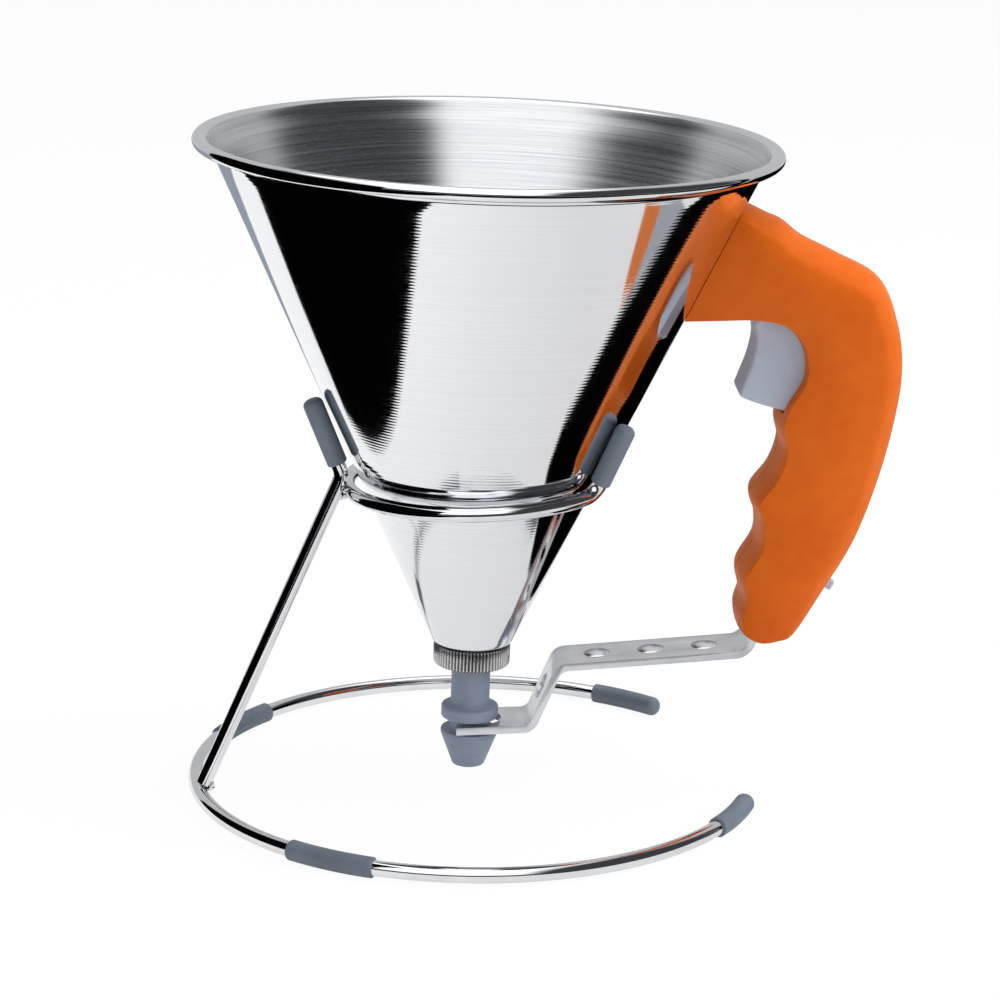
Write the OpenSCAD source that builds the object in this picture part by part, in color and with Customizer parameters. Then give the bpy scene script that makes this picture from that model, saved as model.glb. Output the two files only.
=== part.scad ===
// Pancake batter dispenser: a steel funnel with a piston nozzle, a trigger handle and a wire stand.
// Millimetres. +Z is up, +X points from the nozzle to the handle, and the origin is the point of
// the table under the middle of the stand. The funnel's pieces are drawn upright on the Z axis
// and then tipped by funnel_lean and funnel_pitch, because the handle's weight tips the funnel in
// its cradle.

/* [Hopper] */
// Outside diameter of the rolled rim
rim_d = 150; // [140:1:160]
// Radius of the bead rolled at the rim
bead_r = 1.6; // [1.3:0.1:2]
// How far the lip flares out from the cone before the bead
lip_flare = 2.2; // [1.5:0.1:3]
// Angle between the cone's wall and its axis, in degrees
cone_angle = 24.7; // [23:0.1:26]
// Thickness of the cone's sheet steel
cone_wall = 0.8; // [0.6:0.1:1.2]
// Outside radius of the cone at its foot
foot_r = 10.9; // [10.5:0.1:12]
// How far the funnel tips towards the handle, in degrees
funnel_lean = 1.2; // [0:0.1:1.5]
// How far the funnel tips towards the front, in degrees
funnel_pitch = 0.75; // [0:0.05:1]

/* [Nozzle] */
// Height of the nozzle's tip above the table
tip_lift = 4.5; // [3:0.5:12]
// Height of the tapered tip
tip_h = 9.8; // [8:0.2:14]
// Radius of the tip's mouth end
tip_r = 4.25; // [4:0.05:5]
// Radius of the tip's top and of the collar
collar_r = 7.6; // [7:0.1:8]
// Height of the collar
collar_h = 3.1; // [2:0.1:5]
// Height of the groove that the fork grips
groove_h = 3.6; // [3.4:0.1:4.5]
// Radius of the sliding stem
stem_r = 5.15; // [4.6:0.05:5.3]
// Length of bare stem between collar and nut with the nozzle down
stem_free = 11.9; // [10:0.1:20]
// Radius of the outlet in the tip
outlet_r = 3.2; // [2.5:0.1:3.4]
// Length of the outlet's wall
outlet_len = 8; // [5:0.5:8]
// Radius of the channel in the stem
channel_r = 2.9; // [2.2:0.1:3]
// Radius of the batter ports in the stem
port_r = 2.2; // [1.6:0.1:2.4]
// Radius of the valve head above the ferrule
head_r = 6.8; // [6.4:0.1:7.4]
// Height of the valve head
head_h = 3.2; // [2.5:0.1:5]

/* [Knurled nut and ferrule] */
// Outside radius of the knurled nut
nut_r = 10.15; // [9.8:0.05:11]
// Height of the knurled nut
nut_h = 5.7; // [5:0.1:8]
// Number of knurls
knurls = 66; // [40:2:80]
// Depth of the knurls
knurl_depth = 0.4; // [0.3:0.05:0.6]
// Radius of the ferrule's neck, where the nut is screwed on
neck_r = 8.1; // [7.8:0.05:8.4]
// Gap between neck and nut, which stands for the thread
thread_gap = 0.08; // [0.05:0.01:0.1]
// Gap around the stem in the ferrule
stem_gap = 0.25; // [0.2:0.05:0.4]

/* [Lever] */
// Width of the steel strip
strip_w = 15.5; // [14:0.1:15.8]
// Thickness of the steel strip
strip_t = 2; // [1.5:0.1:2.2]
// Distance from the nozzle's axis to the lower bend
fork_reach = 16.2; // [15.5:0.1:19]
// How far the prongs reach past the nozzle's axis
prong_reach = 3.6; // [2:0.1:6]
// Tilt of the fork with the nozzle down, in degrees
fork_tilt = 3.6; // [3:0.1:4]
// Length of the sloping part between its two bends
slope_len = 18.5; // [16:0.1:22]
// Angle of the sloping part, in degrees
slope_angle = 68.5; // [60:0.5:72]
// Tilt of the long flat, in degrees
flat_tilt = 5.9; // [4:0.1:6]
// Lean of the arm inside the handle away from upright, in degrees
arm_lean = 13; // [11:0.5:14]
// Radius of the lever's bends at mid-thickness
bend_r = 3.6; // [3:0.1:4]
// Radius of the bend into the handle at mid-thickness
heel_r = 5; // [4:0.1:6]
// Radius of the holes in the lever
lever_hole_r = 3.5; // [2:0.1:4]
// Distance between the holes in the long flat
lever_hole_pitch = 14.3; // [12:0.1:15]
// Distance from the upper bend's corner to the first hole
lever_hole_start = 10.4; // [9:0.1:12]
// Turn of the lever with the trigger squeezed, in degrees
squeeze = 5; // [3:0.5:5]

/* [Handle] */
// Thickness of the handle from side to side
handle_t = 26; // [24:0.5:32]
// Thickness of the shells' walls round the outline
shell_wall = 3.4; // [3:0.1:3.6]
// Height of the head's lower face above the cone's foot
head_rise = 89.3; // [84:0.5:92]
// Gap between the handle's shells and the cone
cone_gap = 0.3; // [0.2:0.05:0.5]
// Width of the chamfer where the head meets the cone
head_chamfer = 2; // [1:0.5:4]
// Width of the trigger
trigger_w = 14; // [12:0.5:15]
// Radius of the pin that the lever turns on
pin_r = 2; // [1.5:0.1:2.2]
// Radius of the trigger's hub round the pin
hub_r = 3.6; // [3.4:0.1:3.8]
// Running gap between pin and hub
pin_gap = 0.05; // [0.02:0.01:0.08]
// Radius of the screws' shanks
screw_r = 1.45; // [1.2:0.05:1.6]
// Radius of the screws' heads
screw_head_r = 2.8; // [2.5:0.1:3]
// Radius of the screw bosses
boss_r = 3.6; // [3.3:0.1:4]
// Thickness of the bracket's tongue
tongue_t = 3; // [2:0.1:4]
// Travel of the flow slider
slider_travel = 6; // [4:0.5:7]

/* [Stand] */
// Radius of the stand's wire
wire_r = 2; // [1.8:0.1:2.3]
// Diameter of the base ring at the middle of its wire
base_d = 148.4; // [130:1:170]
// Half of the angle that the base ring leaves open, from cap to cap
base_gap_angle = 30.5; // [20:0.5:34]
// Turn of the stand against the handle, in degrees
stand_turn = 13; // [-10:0.5:15]
// Height of the cradle ring's middle above the cone's foot
cradle_rise = 43.3; // [40:0.1:46]
// Tilt of the cradle ring, up towards its open side, in degrees
cradle_tilt = 2.4; // [0:0.1:3]
// How far the cradle ring's middle lies towards its open side
cradle_shift = 0.6; // [0.3:0.1:1]
// Half of the angle between the two free prongs
prong_angle = 46.5; // [44:0.5:60]
// Lean of the free prongs from upright, in degrees
free_lean = 25.5; // [25:0.1:26]
// Lean of the upright's prong, in degrees
left_lean = 21.8; // [20.5:0.1:23]
// How far the bend between cradle ring and prong reaches along each of them
prong_bend = 3.8; // [3:0.1:4.2]
// Radius of the upright's knee
knee_r = 5; // [3.5:0.1:6]
// Height of the upright's knee above the cradle ring's middle
knee_rise = 2.9; // [2:0.1:3.2]
// Height of the free prongs' round ends above the cradle ring's middle
free_rise = 18; // [17.8:0.1:22]
// Height of the upright's round end above the cradle ring's middle
left_rise = 21.3; // [20.5:0.1:24]
// Outside radius of the sleeves
sleeve_r = 2.65; // [2.5:0.05:3]
// Length of the free prongs' sleeves without their round ends
free_sleeve_len = 15; // [8:0.5:15]
// Length of the upright's sleeve without its round end
left_sleeve_len = 16.3; // [8:0.1:16.5]
// Gap between the free prongs' sleeves and the cone
free_gap = 0.35; // [0.3:0.05:0.6]
// Gap between the round end of the upright's sleeve and the cone
left_gap = 0.5; // [0.4:0.05:0.7]
// Length of the foot sleeves
foot_sleeve_len = 24; // [15:0.5:32]
// Place of the front foot sleeve round the ring, from the middle of the open side
front_sleeve_angle = 133; // [110:1:145]
// Place of the back foot sleeve round the ring, from the middle of the open side
back_sleeve_angle = 137; // [110:1:145]
// Length of the end caps without their round ends
end_cap_len = 19.5; // [12:0.5:24]
// Gap between a sleeve and its wire
sleeve_fit = 0.02; // [0.01:0.01:0.04]
// Depth of the flat that the table presses in a foot
foot_flat = 0.1; // [0.05:0.01:0.2]

/* [Hidden] */
$fn = 72;

// Colours
STEEL = [0.78, 0.79, 0.8];
ORANGE = [0.86, 0.4, 0.13];
GREY = [0.45, 0.51, 0.57];
LIGHT_GREY = [0.58, 0.62, 0.67];

// Heights along the nozzle's axis, from the table up
tip_top = tip_lift + tip_h;
groove_top = tip_top + groove_h;
collar_top = groove_top + collar_h;
nut_bottom = collar_top + stem_free;
nut_top = nut_bottom + nut_h;
foot_z = nut_top + 1.4;

// Cone
cone_tan = tan(cone_angle);
cone_cos = cos(cone_angle);
function cone_r(z) = foot_r + (z - foot_z) * cone_tan;
rim_r = rim_d / 2;
bead_x = rim_r - bead_r;
rim_z = foot_z + (bead_x - lip_flare - foot_r) / cone_tan;
// Below this height the lip starts to flare
flare_z = rim_z - 3;

// Cradle
cradle_z = foot_z + cradle_rise;
free_top_z = cradle_z + free_rise;
left_top_z = cradle_z + left_rise;
// Radius at height z of the tipped cone, at an azimuth of the stand
function wall_r(azimuth, z) =
    let (tip = cos(azimuth + stand_turn) * sin(funnel_lean) - sin(azimuth + stand_turn) * sin(funnel_pitch))
    cone_r(z) + tip * (cone_tan * cone_r(z) + z - cradle_z);
free_top_r = wall_r(-prong_angle, free_top_z) + (sleeve_r + free_gap) / cone_cos;
left_top_r = wall_r(180, left_top_z) + (sleeve_r + left_gap) / cone_cos;
// Where a free prong's line meets the tilted plane of the ring
corner_rise = tan(cradle_tilt) * cos(prong_angle);
corner_z = (cradle_z + corner_rise * (free_top_r - free_top_z * tan(free_lean)))
           / (1 - corner_rise * tan(free_lean));
corner_r = free_top_r - (free_top_z - corner_z) * tan(free_lean);
corner_flat = [corner_r * cos(prong_angle) / cos(cradle_tilt) - cradle_shift,
               corner_r * sin(prong_angle)];
cradle_r = sqrt(pow(norm(corner_flat), 2) - pow(prong_bend, 2));
cradle_end = atan2(corner_flat[1], corner_flat[0]) + atan2(prong_bend, cradle_r);

// Base ring
wire_seam = 0.05;
base_r = base_d / 2;
base_z = sleeve_r - foot_flat;
deg_per_mm = 180 / (PI * base_r);
wire_end_angle = base_gap_angle + sleeve_r * deg_per_mm;

// Ferrule and its seals
seal_h = 2.4;
seal_z = nut_top - 0.4;
seal_deep = 1.4;
neck_bottom = nut_bottom + 2.4;
gasket_h = 1;
ferrule_top = foot_z + 1.2;
flange_r = foot_r - 2.05;
valve_gap = 0.2;
head_z = ferrule_top + valve_gap;
port_z = nut_bottom + 2.9;

// Handle frame: its origin is the head's lower front corner, on the cone's outer face
head_x = cone_r(foot_z + head_rise);
head_bottom = foot_z + head_rise;
pivot_x = head_x + 28;
pivot_z = head_bottom - 79.8;

// Lever corners at mid-thickness
fork_z = tip_top + strip_t / 2 + 0.65;
fork_slot_r = stem_r + 0.35;
corner_a = [fork_reach, fork_z + fork_reach * tan(fork_tilt)];
corner_b = corner_a + slope_len * [cos(slope_angle), sin(slope_angle)];
arm_x = pivot_x - (hub_r + 0.15 + strip_t / 2) / cos(arm_lean);
heel_x = (arm_x - (pivot_z - corner_b[1] + corner_b[0] * tan(flat_tilt)) * tan(arm_lean))
         / (1 - tan(flat_tilt) * tan(arm_lean));
corner_c = [heel_x, corner_b[1] + (heel_x - corner_b[0]) * tan(flat_tilt)];
arm_top_z = head_bottom - 31;
corner_d = [arm_x + (arm_top_z - pivot_z) * tan(arm_lean), arm_top_z];
fork_end = [-prong_reach, fork_z - prong_reach * tan(fork_tilt)];
slot_end = fork_slot_r + (pivot_z - fork_z) * sin(squeeze) + 0.1;
rivet_rises = [16, 38];
rivet_r = 1.4;
stem_w = 8;
stem_t = 4.4;

// Handle outline in the handle frame: [x, z, inset of the side face]
GRIP = [
    [6, 27.5, 4], [21, 25.9, 6], [29, 20.9, 7], [38.5, 16.5, 7.5], [49.5, 10.5, 7.5], [55, -1, 7.5],
    [57, -14, 7.5], [55.5, -29, 7.5], [52, -45, 7.5], [47, -60, 7.5], [39.5, -74, 6.5],
    [33, -84.8, 5], [28.5, -87, 4.5], [23, -87.3, 4], [18.5, -84.5, 3.5], [17, -79.5, 3.5],
    [18, -74.5, 3.5], [17, -68, 3.5], [21, -60, 3.5], [21, -53.5, 3.5], [19.5, -47.5, 3.5],
    [24, -40.5, 3.5], [26, -33.5, 3], [25, -28, 2], [26.5, -22.5, 1], [30.5, -14.5, 1],
    [29.5, -6.5, 1], [25, -1.5, 1], [17.5, 0, 1], [8, -0.3, 1], [-2, -0.8, 1], [-12, -1.3, 1]
];
GRIP_STEPS = 3;
SIDE_STEPS = 5;

// Trigger outline in the handle frame
PADDLE = [
    [17.5, 0], [18, -5.5], [17, -11.5], [15, -17.5], [14.5, -20], [17, -21.5], [24, -23.5],
    [31, -25], [38, -26], [43, -25], [44.5, -20], [43, -13], [39.5, -6.5], [34, -1.5], [28, 1],
    [22, 1.5]
];
PADDLE_STEPS = 3;

// Screws in the handle frame, and the slider's place and direction
SCREWS = [[11.8, 13.7], [49, -3.3], [45, -54.3]];
slider_at = [40.9, -71.7];
slider_dir = 61.2;
pocket_y = strip_w / 2 + 0.55;

// Curves and lines

function wrap(list, i) = list[(i + len(list)) % len(list)];
function spline(a, b, c, d, t) =
    0.5 * (2 * b + (c - a) * t + (2 * a - 5 * b + 4 * c - d) * t * t
           + (3 * b - a - 3 * c + d) * t * t * t);
function smooth(list, steps) =
    [for (i = [0:len(list) - 1], k = [0:steps - 1])
        spline(wrap(list, i - 1), wrap(list, i), wrap(list, i + 1), wrap(list, i + 2), k / steps)];
function inward(list, i) =
    let (run = wrap(list, i + 2) - wrap(list, i - 2))
    [run[1], -run[0]] / norm([run[0], run[1]]);
function side_ring(list, y, fade) =
    [for (i = [0:len(list) - 1])
        let (shift = inward(list, i) * list[i][2] * fade)
        [list[i][0] + shift[0], y, list[i][1] + shift[1]]];
function flat_points(list) = [for (p = list) [p[0], p[1]]];

// Points of a bent strip's middle line, as [x, z, direction]
function heading(a, b) = atan2(b[1] - a[1], b[0] - a[0]);
function bend_points(a, b, c, r) =
    let (from = heading(a, b),
         turn = heading(b, c) - from,
         reach = r * tan(abs(turn) / 2),
         start = b - reach * [cos(from), sin(from)],
         side = sign(turn))
    [for (k = [0:6])
        let (angle = from + turn * k / 6)
        [start[0] + side * r * (sin(angle) - sin(from)),
         start[1] - side * r * (cos(angle) - cos(from)), angle]];
function strip_edge(middle, off) =
    [for (p = middle) [p[0] - off * sin(p[2]), p[1] + off * cos(p[2])]];
function backwards(list) = [for (i = [len(list) - 1:-1:0]) list[i]];

// Frames

module leaned() {
    translate([0, 0, cradle_z])
        rotate([funnel_pitch, funnel_lean, 0])
            translate([0, 0, -cradle_z]) children();
}

module turned() {
    rotate([0, 0, stand_turn]) children();
}

// From a drawing in X and Y to the plane of the handle, w wide from side to side
module upright_plate(w) {
    rotate([90, 0, 0])
        translate([0, 0, -w / 2])
            linear_extrude(height = w) children();
}

module handle_frame() {
    translate([head_x, 0, head_bottom]) children();
}

module across(at, r, y_low, y_high) {
    translate([at[0], y_high, at[1]])
        rotate([90, 0, 0]) cylinder(r = r, h = y_high - y_low);
}

module ring(outer, inner, low, high) {
    translate([0, 0, low])
        difference() {
            cylinder(r = outer, h = high - low);
            translate([0, 0, -1]) cylinder(r = inner, h = high - low + 2);
        }
}

module pointed(at, run) {
    translate(at)
        rotate([0, acos(run[2] / norm(run)), atan2(run[1], run[0])]) children();
}

module rod(a, b, r) {
    pointed(a, b - a) cylinder(r = r, h = norm(b - a));
}

// Straight wire that ends wire_seam short of a, where wire_joint closes it to the next piece
module wire_from(a, b) {
    rod(a + wire_seam * (b - a) / norm(b - a), b, wire_r);
}

module wire_joint(at) {
    translate(at) sphere(r = wire_r + 0.03, $fn = 32);
}

// A quarter or less of a torus: it starts at a in direction d and turns towards e
module wire_bend(a, d, e, bend, r) {
    turn = acos(d * e);
    n = (e - d * cos(turn)) / sin(turn);
    z = -cross(n, d);
    c = a + bend * n;
    multmatrix([[-n[0], d[0], z[0], c[0]], [-n[1], d[1], z[1], c[1]], [-n[2], d[2], z[2], c[2]]])
        rotate_extrude(angle = turn) translate([bend, 0]) circle(r = r, $fn = 32);
}

function bend_end(a, d, e, bend) =
    let (turn = acos(d * e), n = (e - d * cos(turn)) / sin(turn))
    a + bend * (1 - cos(turn)) * n + bend * sin(turn) * d;

// Stand

// Direction of a prong and the place of its round end, in the stand's own frame
function prong_way(azimuth, lean) =
    [sin(lean) * cos(azimuth), sin(lean) * sin(azimuth), cos(lean)];
function prong_end(azimuth, r, z) = [r * cos(azimuth), r * sin(azimuth), z];

module base_arc(from, to, r) {
    translate([0, 0, base_z])
        rotate([0, 0, from])
            rotate_extrude(angle = to - from) translate([base_r, 0]) circle(r = r, $fn = 32);
}

module base_ring() {
    color(STEEL) turned() base_arc(wire_end_angle, 360 - wire_end_angle, wire_r);
}

// The upright stands on the base ring and turns into its prong at the knee
upright_foot = [-(base_r - 1.1), 0, base_z + wire_r + 0.2];
left_end = prong_end(180, left_top_r, left_top_z);
knee = left_end - prong_way(180, left_lean) * (left_rise - knee_rise) / cos(left_lean);

module upright() {
    rise = (knee - upright_foot) / norm(knee - upright_foot);
    prong = prong_way(180, left_lean);
    turn = acos(rise * prong);
    start = knee - rise * knee_r * tan(turn / 2);
    top_of_bend = bend_end(start, rise, prong, knee_r);
    color(STEEL) turned() {
        wire_from(start, upright_foot);
        wire_joint(start);
        wire_bend(start, rise, prong, knee_r, wire_r);
        wire_joint(top_of_bend);
        wire_from(top_of_bend, left_end);
    }
}

// A point of the tilted cradle ring
function cradle_point(azimuth) =
    let (flat = cradle_shift + cradle_r * cos(azimuth))
    [flat * cos(cradle_tilt), cradle_r * sin(azimuth), cradle_z + flat * sin(cradle_tilt)];

module free_prong(side) {
    start = cradle_point(side * cradle_end);
    corner = prong_end(side * prong_angle, corner_r, corner_z);
    tangent = (corner - start) / norm(corner - start);
    prong = prong_way(side * prong_angle, free_lean);
    bend = prong_bend / tan(acos(tangent * prong) / 2);
    foot = bend_end(start, tangent, prong, bend);
    wire_joint(start);
    wire_bend(start, tangent, prong, bend, wire_r);
    wire_joint(foot);
    wire_from(foot, prong_end(side * prong_angle, free_top_r, free_top_z));
}

module cradle_ring() {
    end = cradle_end + wire_seam * 180 / (PI * cradle_r);
    color(STEEL) turned() {
        translate([0, 0, cradle_z])
            rotate([0, -cradle_tilt, 0])
                translate([cradle_shift, 0, 0])
                    rotate([0, 0, end])
                        rotate_extrude(angle = 360 - 2 * end)
                            translate([cradle_r, 0]) circle(r = wire_r, $fn = 32);
        free_prong(1);
        free_prong(-1);
    }
}

// Welds at the upright's foot and where the cradle ring meets it
module weld_beads() {
    back = cradle_point(180);
    along = (back[2] - knee[2]) / (upright_foot[2] - knee[2]);
    beside = knee + along * (upright_foot - knee);
    color(STEEL) turned() {
        translate([-(base_r - wire_r * 1.3), 0, base_z + wire_r * 0.8])
            sphere(r = wire_r * 0.75, $fn = 32);
        translate((back + beside) / 2) sphere(r = wire_r * 0.95, $fn = 32);
    }
}

module foot_sleeve(side) {
    half = foot_sleeve_len / 2 * deg_per_mm;
    middle = side * (side < 0 ? front_sleeve_angle : back_sleeve_angle);
    color(GREY) turned()
        difference() {
            base_arc(middle - half, middle + half, sleeve_r);
            base_arc(middle - half - 2, middle + half + 2, wire_r + sleeve_fit);
            table_cut();
        }
}

module table_cut() {
    translate([-base_r * 2, -base_r * 2, -sleeve_r])
        cube([base_r * 4, base_r * 4, sleeve_r]);
}

module end_cap(side) {
    reach = wire_end_angle + end_cap_len * deg_per_mm;
    color(GREY) turned() mirror([0, side < 0 ? 1 : 0, 0])
        difference() {
            union() {
                base_arc(wire_end_angle, reach, sleeve_r);
                rotate([0, 0, wire_end_angle])
                    translate([base_r, 0, base_z]) sphere(r = sleeve_r);
            }
            base_arc(wire_end_angle - sleeve_fit * deg_per_mm, reach + 2, wire_r + sleeve_fit);
            table_cut();
        }
}

module prong_sleeve(top, direction, length) {
    pointed(top, direction)
        difference() {
            rotate_extrude() {
                translate([0, -length]) square([sleeve_r, length]);
                intersection() {
                    circle(r = sleeve_r);
                    square(sleeve_r);
                }
            }
            translate([0, 0, -length - 1])
                cylinder(r = wire_r + sleeve_fit, h = length + 1 + sleeve_fit);
        }
}

module free_sleeve(side) {
    color(GREY) turned()
        prong_sleeve(prong_end(side * prong_angle, free_top_r, free_top_z),
                     prong_way(side * prong_angle, free_lean), free_sleeve_len);
}

module foot_sleeve_front() {
    foot_sleeve(-1);
}

module foot_sleeve_back() {
    foot_sleeve(1);
}

module end_cap_front() {
    end_cap(-1);
}

module end_cap_back() {
    end_cap(1);
}

module prong_sleeve_left() {
    color(GREY) turned() prong_sleeve(left_end, prong_way(180, left_lean), left_sleeve_len);
}

module prong_sleeve_front() {
    free_sleeve(-1);
}

module prong_sleeve_back() {
    free_sleeve(1);
}

// Funnel

module hopper_cone() {
    wall_x = cone_wall / cone_cos;
    inner_foot = neck_r + 0.05;
    lip = bead_x - lip_flare;
    color(STEEL) leaned()
        rotate_extrude() {
            polygon([
                [cone_r(flare_z), flare_z], [lip + 0.35, rim_z - 1.4], [lip + 1, rim_z - 0.55],
                [bead_x, rim_z - 0.1], [bead_x, rim_z + bead_r], [bead_x - 0.7, rim_z + bead_r - 0.1],
                [lip + 0.1, rim_z + 0.8], [lip - 0.5, rim_z - 0.4], [lip - 0.95, rim_z - 1.7],
                [cone_r(flare_z) - wall_x, flare_z],
                [cone_r(foot_z) - wall_x, foot_z], [foot_r - 2, foot_z - cone_wall * 0.35],
                [inner_foot, foot_z - cone_wall * 0.35], [inner_foot, foot_z - cone_wall * 1.35],
                [foot_r - 1.2, foot_z - cone_wall * 1.35], [foot_r - 0.35, foot_z - cone_wall * 0.75],
                [foot_r, foot_z]
            ]);
            translate([bead_x, rim_z]) circle(r = bead_r);
        }
}

module spout_ferrule() {
    color(STEEL) leaned()
        difference() {
            union() {
                ring(neck_r, stem_r + stem_gap, neck_bottom, ferrule_top);
                ring(flange_r, stem_r + stem_gap, foot_z - cone_wall * 0.35 + 0.02, ferrule_top);
            }
            ring(stem_r + seal_deep, stem_r, seal_z, seal_z + seal_h);
        }
}

module stem_seal() {
    color(GREY) leaned()
        ring(stem_r + seal_deep - 0.02, stem_r + 0.04, seal_z + 0.02, seal_z + seal_h - 0.02);
}

module neck_gasket() {
    color(GREY) leaned()
        ring(neck_r - 0.3, stem_r + 0.04, neck_bottom - gasket_h - 0.02, neck_bottom - 0.02);
}

module knurled_nut() {
    edge = 0.4;
    tooth = 360 / knurls;
    inside = neck_r + thread_gap;
    floor_z = neck_bottom - gasket_h - 0.04;
    color(STEEL) leaned()
        difference() {
            union() {
                translate([0, 0, nut_bottom])
                    cylinder(r = nut_r - knurl_depth - 0.05, h = nut_h);
                translate([0, 0, nut_bottom + edge])
                    linear_extrude(height = nut_h - 2 * edge)
                        polygon([for (i = [0:knurls - 1], k = [0, 1])
                            let (turn = (i + k / 2) * tooth)
                            (nut_r - k * knurl_depth) * [cos(turn), sin(turn)]]);
            }
            translate([0, 0, nut_bottom - 1]) cylinder(r = stem_r + 0.35, h = nut_h + 2);
            translate([0, 0, floor_z]) cylinder(r = inside, h = nut_h);
        }
}

module piston_nozzle() {
    head_top = head_z + head_h;
    color(GREY) leaned()
        difference() {
            rotate_extrude()
                polygon([
                    [0, tip_lift], [tip_r - 0.8, tip_lift], [tip_r - 0.25, tip_lift + 0.25],
                    [tip_r, tip_lift + 0.8], [collar_r, tip_top - 1], [collar_r, tip_top - 0.2],
                    [collar_r - 0.2, tip_top], [stem_r, tip_top], [stem_r, groove_top],
                    [collar_r - 0.2, groove_top], [collar_r, groove_top + 0.2],
                    [collar_r, collar_top - 0.3], [collar_r - 0.3, collar_top], [stem_r, collar_top],
                    [stem_r, head_z], [head_r, head_z], [head_r, head_z + 1.2],
                    [head_r * 0.55, head_top], [0, head_top]
                ]);
            translate([0, 0, tip_lift - 1]) cylinder(r = outlet_r, h = outlet_len + 1);
            translate([0, 0, tip_lift]) cylinder(r = channel_r, h = port_z + port_r - tip_lift);
            for (turn = [0, 90])
                rotate([0, 0, turn])
                    translate([0, 0, port_z])
                        rotate([90, 0, 0]) cylinder(r = port_r, h = stem_r * 3, center = true);
        }
}

// Lever and trigger

lever_line = concat(
    [[fork_end[0], fork_end[1], fork_tilt]],
    bend_points(fork_end, corner_a, corner_b, bend_r),
    bend_points(corner_a, corner_b, corner_c, bend_r),
    bend_points(corner_b, corner_c, corner_d, heel_r),
    [[corner_d[0], corner_d[1], 90 - arm_lean]]
);

module lever_outline(grow) {
    polygon(concat(strip_edge(lever_line, strip_t / 2 + grow),
                   backwards(strip_edge(lever_line, -strip_t / 2 - grow))));
}

// A hole bored square to the strip, reach mm from corner a towards the direction angle
module strip_bore(a, angle, reach, r) {
    at = a + reach * [cos(angle), sin(angle)];
    translate([at[0], 0, at[1]])
        rotate([0, -angle, 0]) cylinder(r = r, h = strip_t * 4, center = true);
}

function rivet_at(rise) = [arm_x + rise * tan(arm_lean), pivot_z + rise];

module lever_arm() {
    slot_x = slot_end - fork_slot_r;
    color(STEEL) leaned()
        difference() {
            upright_plate(strip_w) lever_outline(0);
            translate([0, 0, fork_z])
                rotate([0, -fork_tilt, 0]) {
                    translate([slot_x, 0, 0])
                        cylinder(r = fork_slot_r, h = strip_t * 4, center = true);
                    translate([slot_x - 20, -fork_slot_r, -strip_t * 2])
                        cube([20, fork_slot_r * 2, strip_t * 4]);
                }
            strip_bore(corner_a, slope_angle, slope_len * 0.54, lever_hole_r);
            for (i = [0:2])
                strip_bore(corner_b, flat_tilt, lever_hole_start + i * lever_hole_pitch, lever_hole_r);
            for (rise = rivet_rises)
                strip_bore(rivet_at(rise), 90 - arm_lean, 0, rivet_r + 0.04);
        }
}

// The trigger's stem lies against the back of the arm, from the hub to the paddle
module stem_outline() {
    back = (strip_t / 2 + 0.03) / cos(arm_lean);
    top = rivet_at(head_bottom - 22 - pivot_z);
    deep = stem_t / cos(arm_lean);
    low = rivet_at(0);
    polygon([
        [low[0] + back, low[1]], [top[0] + back, top[1]], [top[0] + back + deep, top[1]],
        [low[0] + back + deep + 1.2, low[1]]
    ]);
}

module trigger() {
    color(LIGHT_GREY) leaned()
        difference() {
            union() {
                handle_frame() upright_plate(trigger_w) polygon(smooth(PADDLE, PADDLE_STEPS));
                upright_plate(stem_w) stem_outline();
                across([pivot_x, pivot_z], hub_r, -stem_w / 2, stem_w / 2);
            }
            across([pivot_x, pivot_z], pin_r + pin_gap, -handle_t, handle_t);
            upright_plate(strip_w + 0.6) lever_outline(0.02);
            for (rise = rivet_rises)
                rivet(rise, 0.04);
        }
}

// A rivet through the arm into the stem, grown by more for its hole
module rivet(rise, more) {
    at = rivet_at(rise);
    head = 1;
    translate([at[0], 0, at[1]])
        rotate([0, 90 + arm_lean, 0]) {
            translate([0, 0, -strip_t / 2 - head / 2])
                cylinder(r = rivet_r + more, h = strip_t + stem_t * 0.8 + head / 2 + more);
            translate([0, 0, -strip_t / 2 - 0.02 - head]) cylinder(r = rivet_r * 1.8, h = head);
        }
}

module trigger_rivets() {
    color(STEEL) leaned()
        for (rise = rivet_rises)
            rivet(rise, 0);
}

module pivot_pin() {
    color(STEEL) leaned() across([pivot_x, pivot_z], pin_r, -pocket_y - 2.2, pocket_y + 2.2);
}

// Torsion spring on the pin, beside the hub
spring_wire = 0.5;
spring_r = pin_r + 0.25 + spring_wire;
spring_turns = 2.5 + arm_lean / 360;
spring_y = stem_w / 2 + 0.3 + spring_wire;
spring_steps = 20;
spring_leg = 12;
peg_at = [pivot_x + spring_r + spring_wire + 1.05, pivot_z + 9];

function spring_path() =
    let (turns = round(spring_turns * spring_steps),
         first = 180 - arm_lean,
         last = first + 360 * spring_turns)
    concat(
        [[pivot_x + spring_r * cos(first) + spring_leg * sin(arm_lean), spring_y,
          pivot_z + spring_r * sin(first) + spring_leg * cos(arm_lean)]],
        [for (i = [0:turns])
            let (angle = first + 360 * spring_turns * i / turns)
            [pivot_x + spring_r * cos(angle), spring_y + 1.1 * spring_turns * i / turns,
             pivot_z + spring_r * sin(angle)]],
        [[pivot_x + spring_r * cos(last) - spring_leg * sin(last), spring_y + 1.1 * spring_turns,
          pivot_z + spring_r * sin(last) + spring_leg * cos(last)]]);

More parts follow.
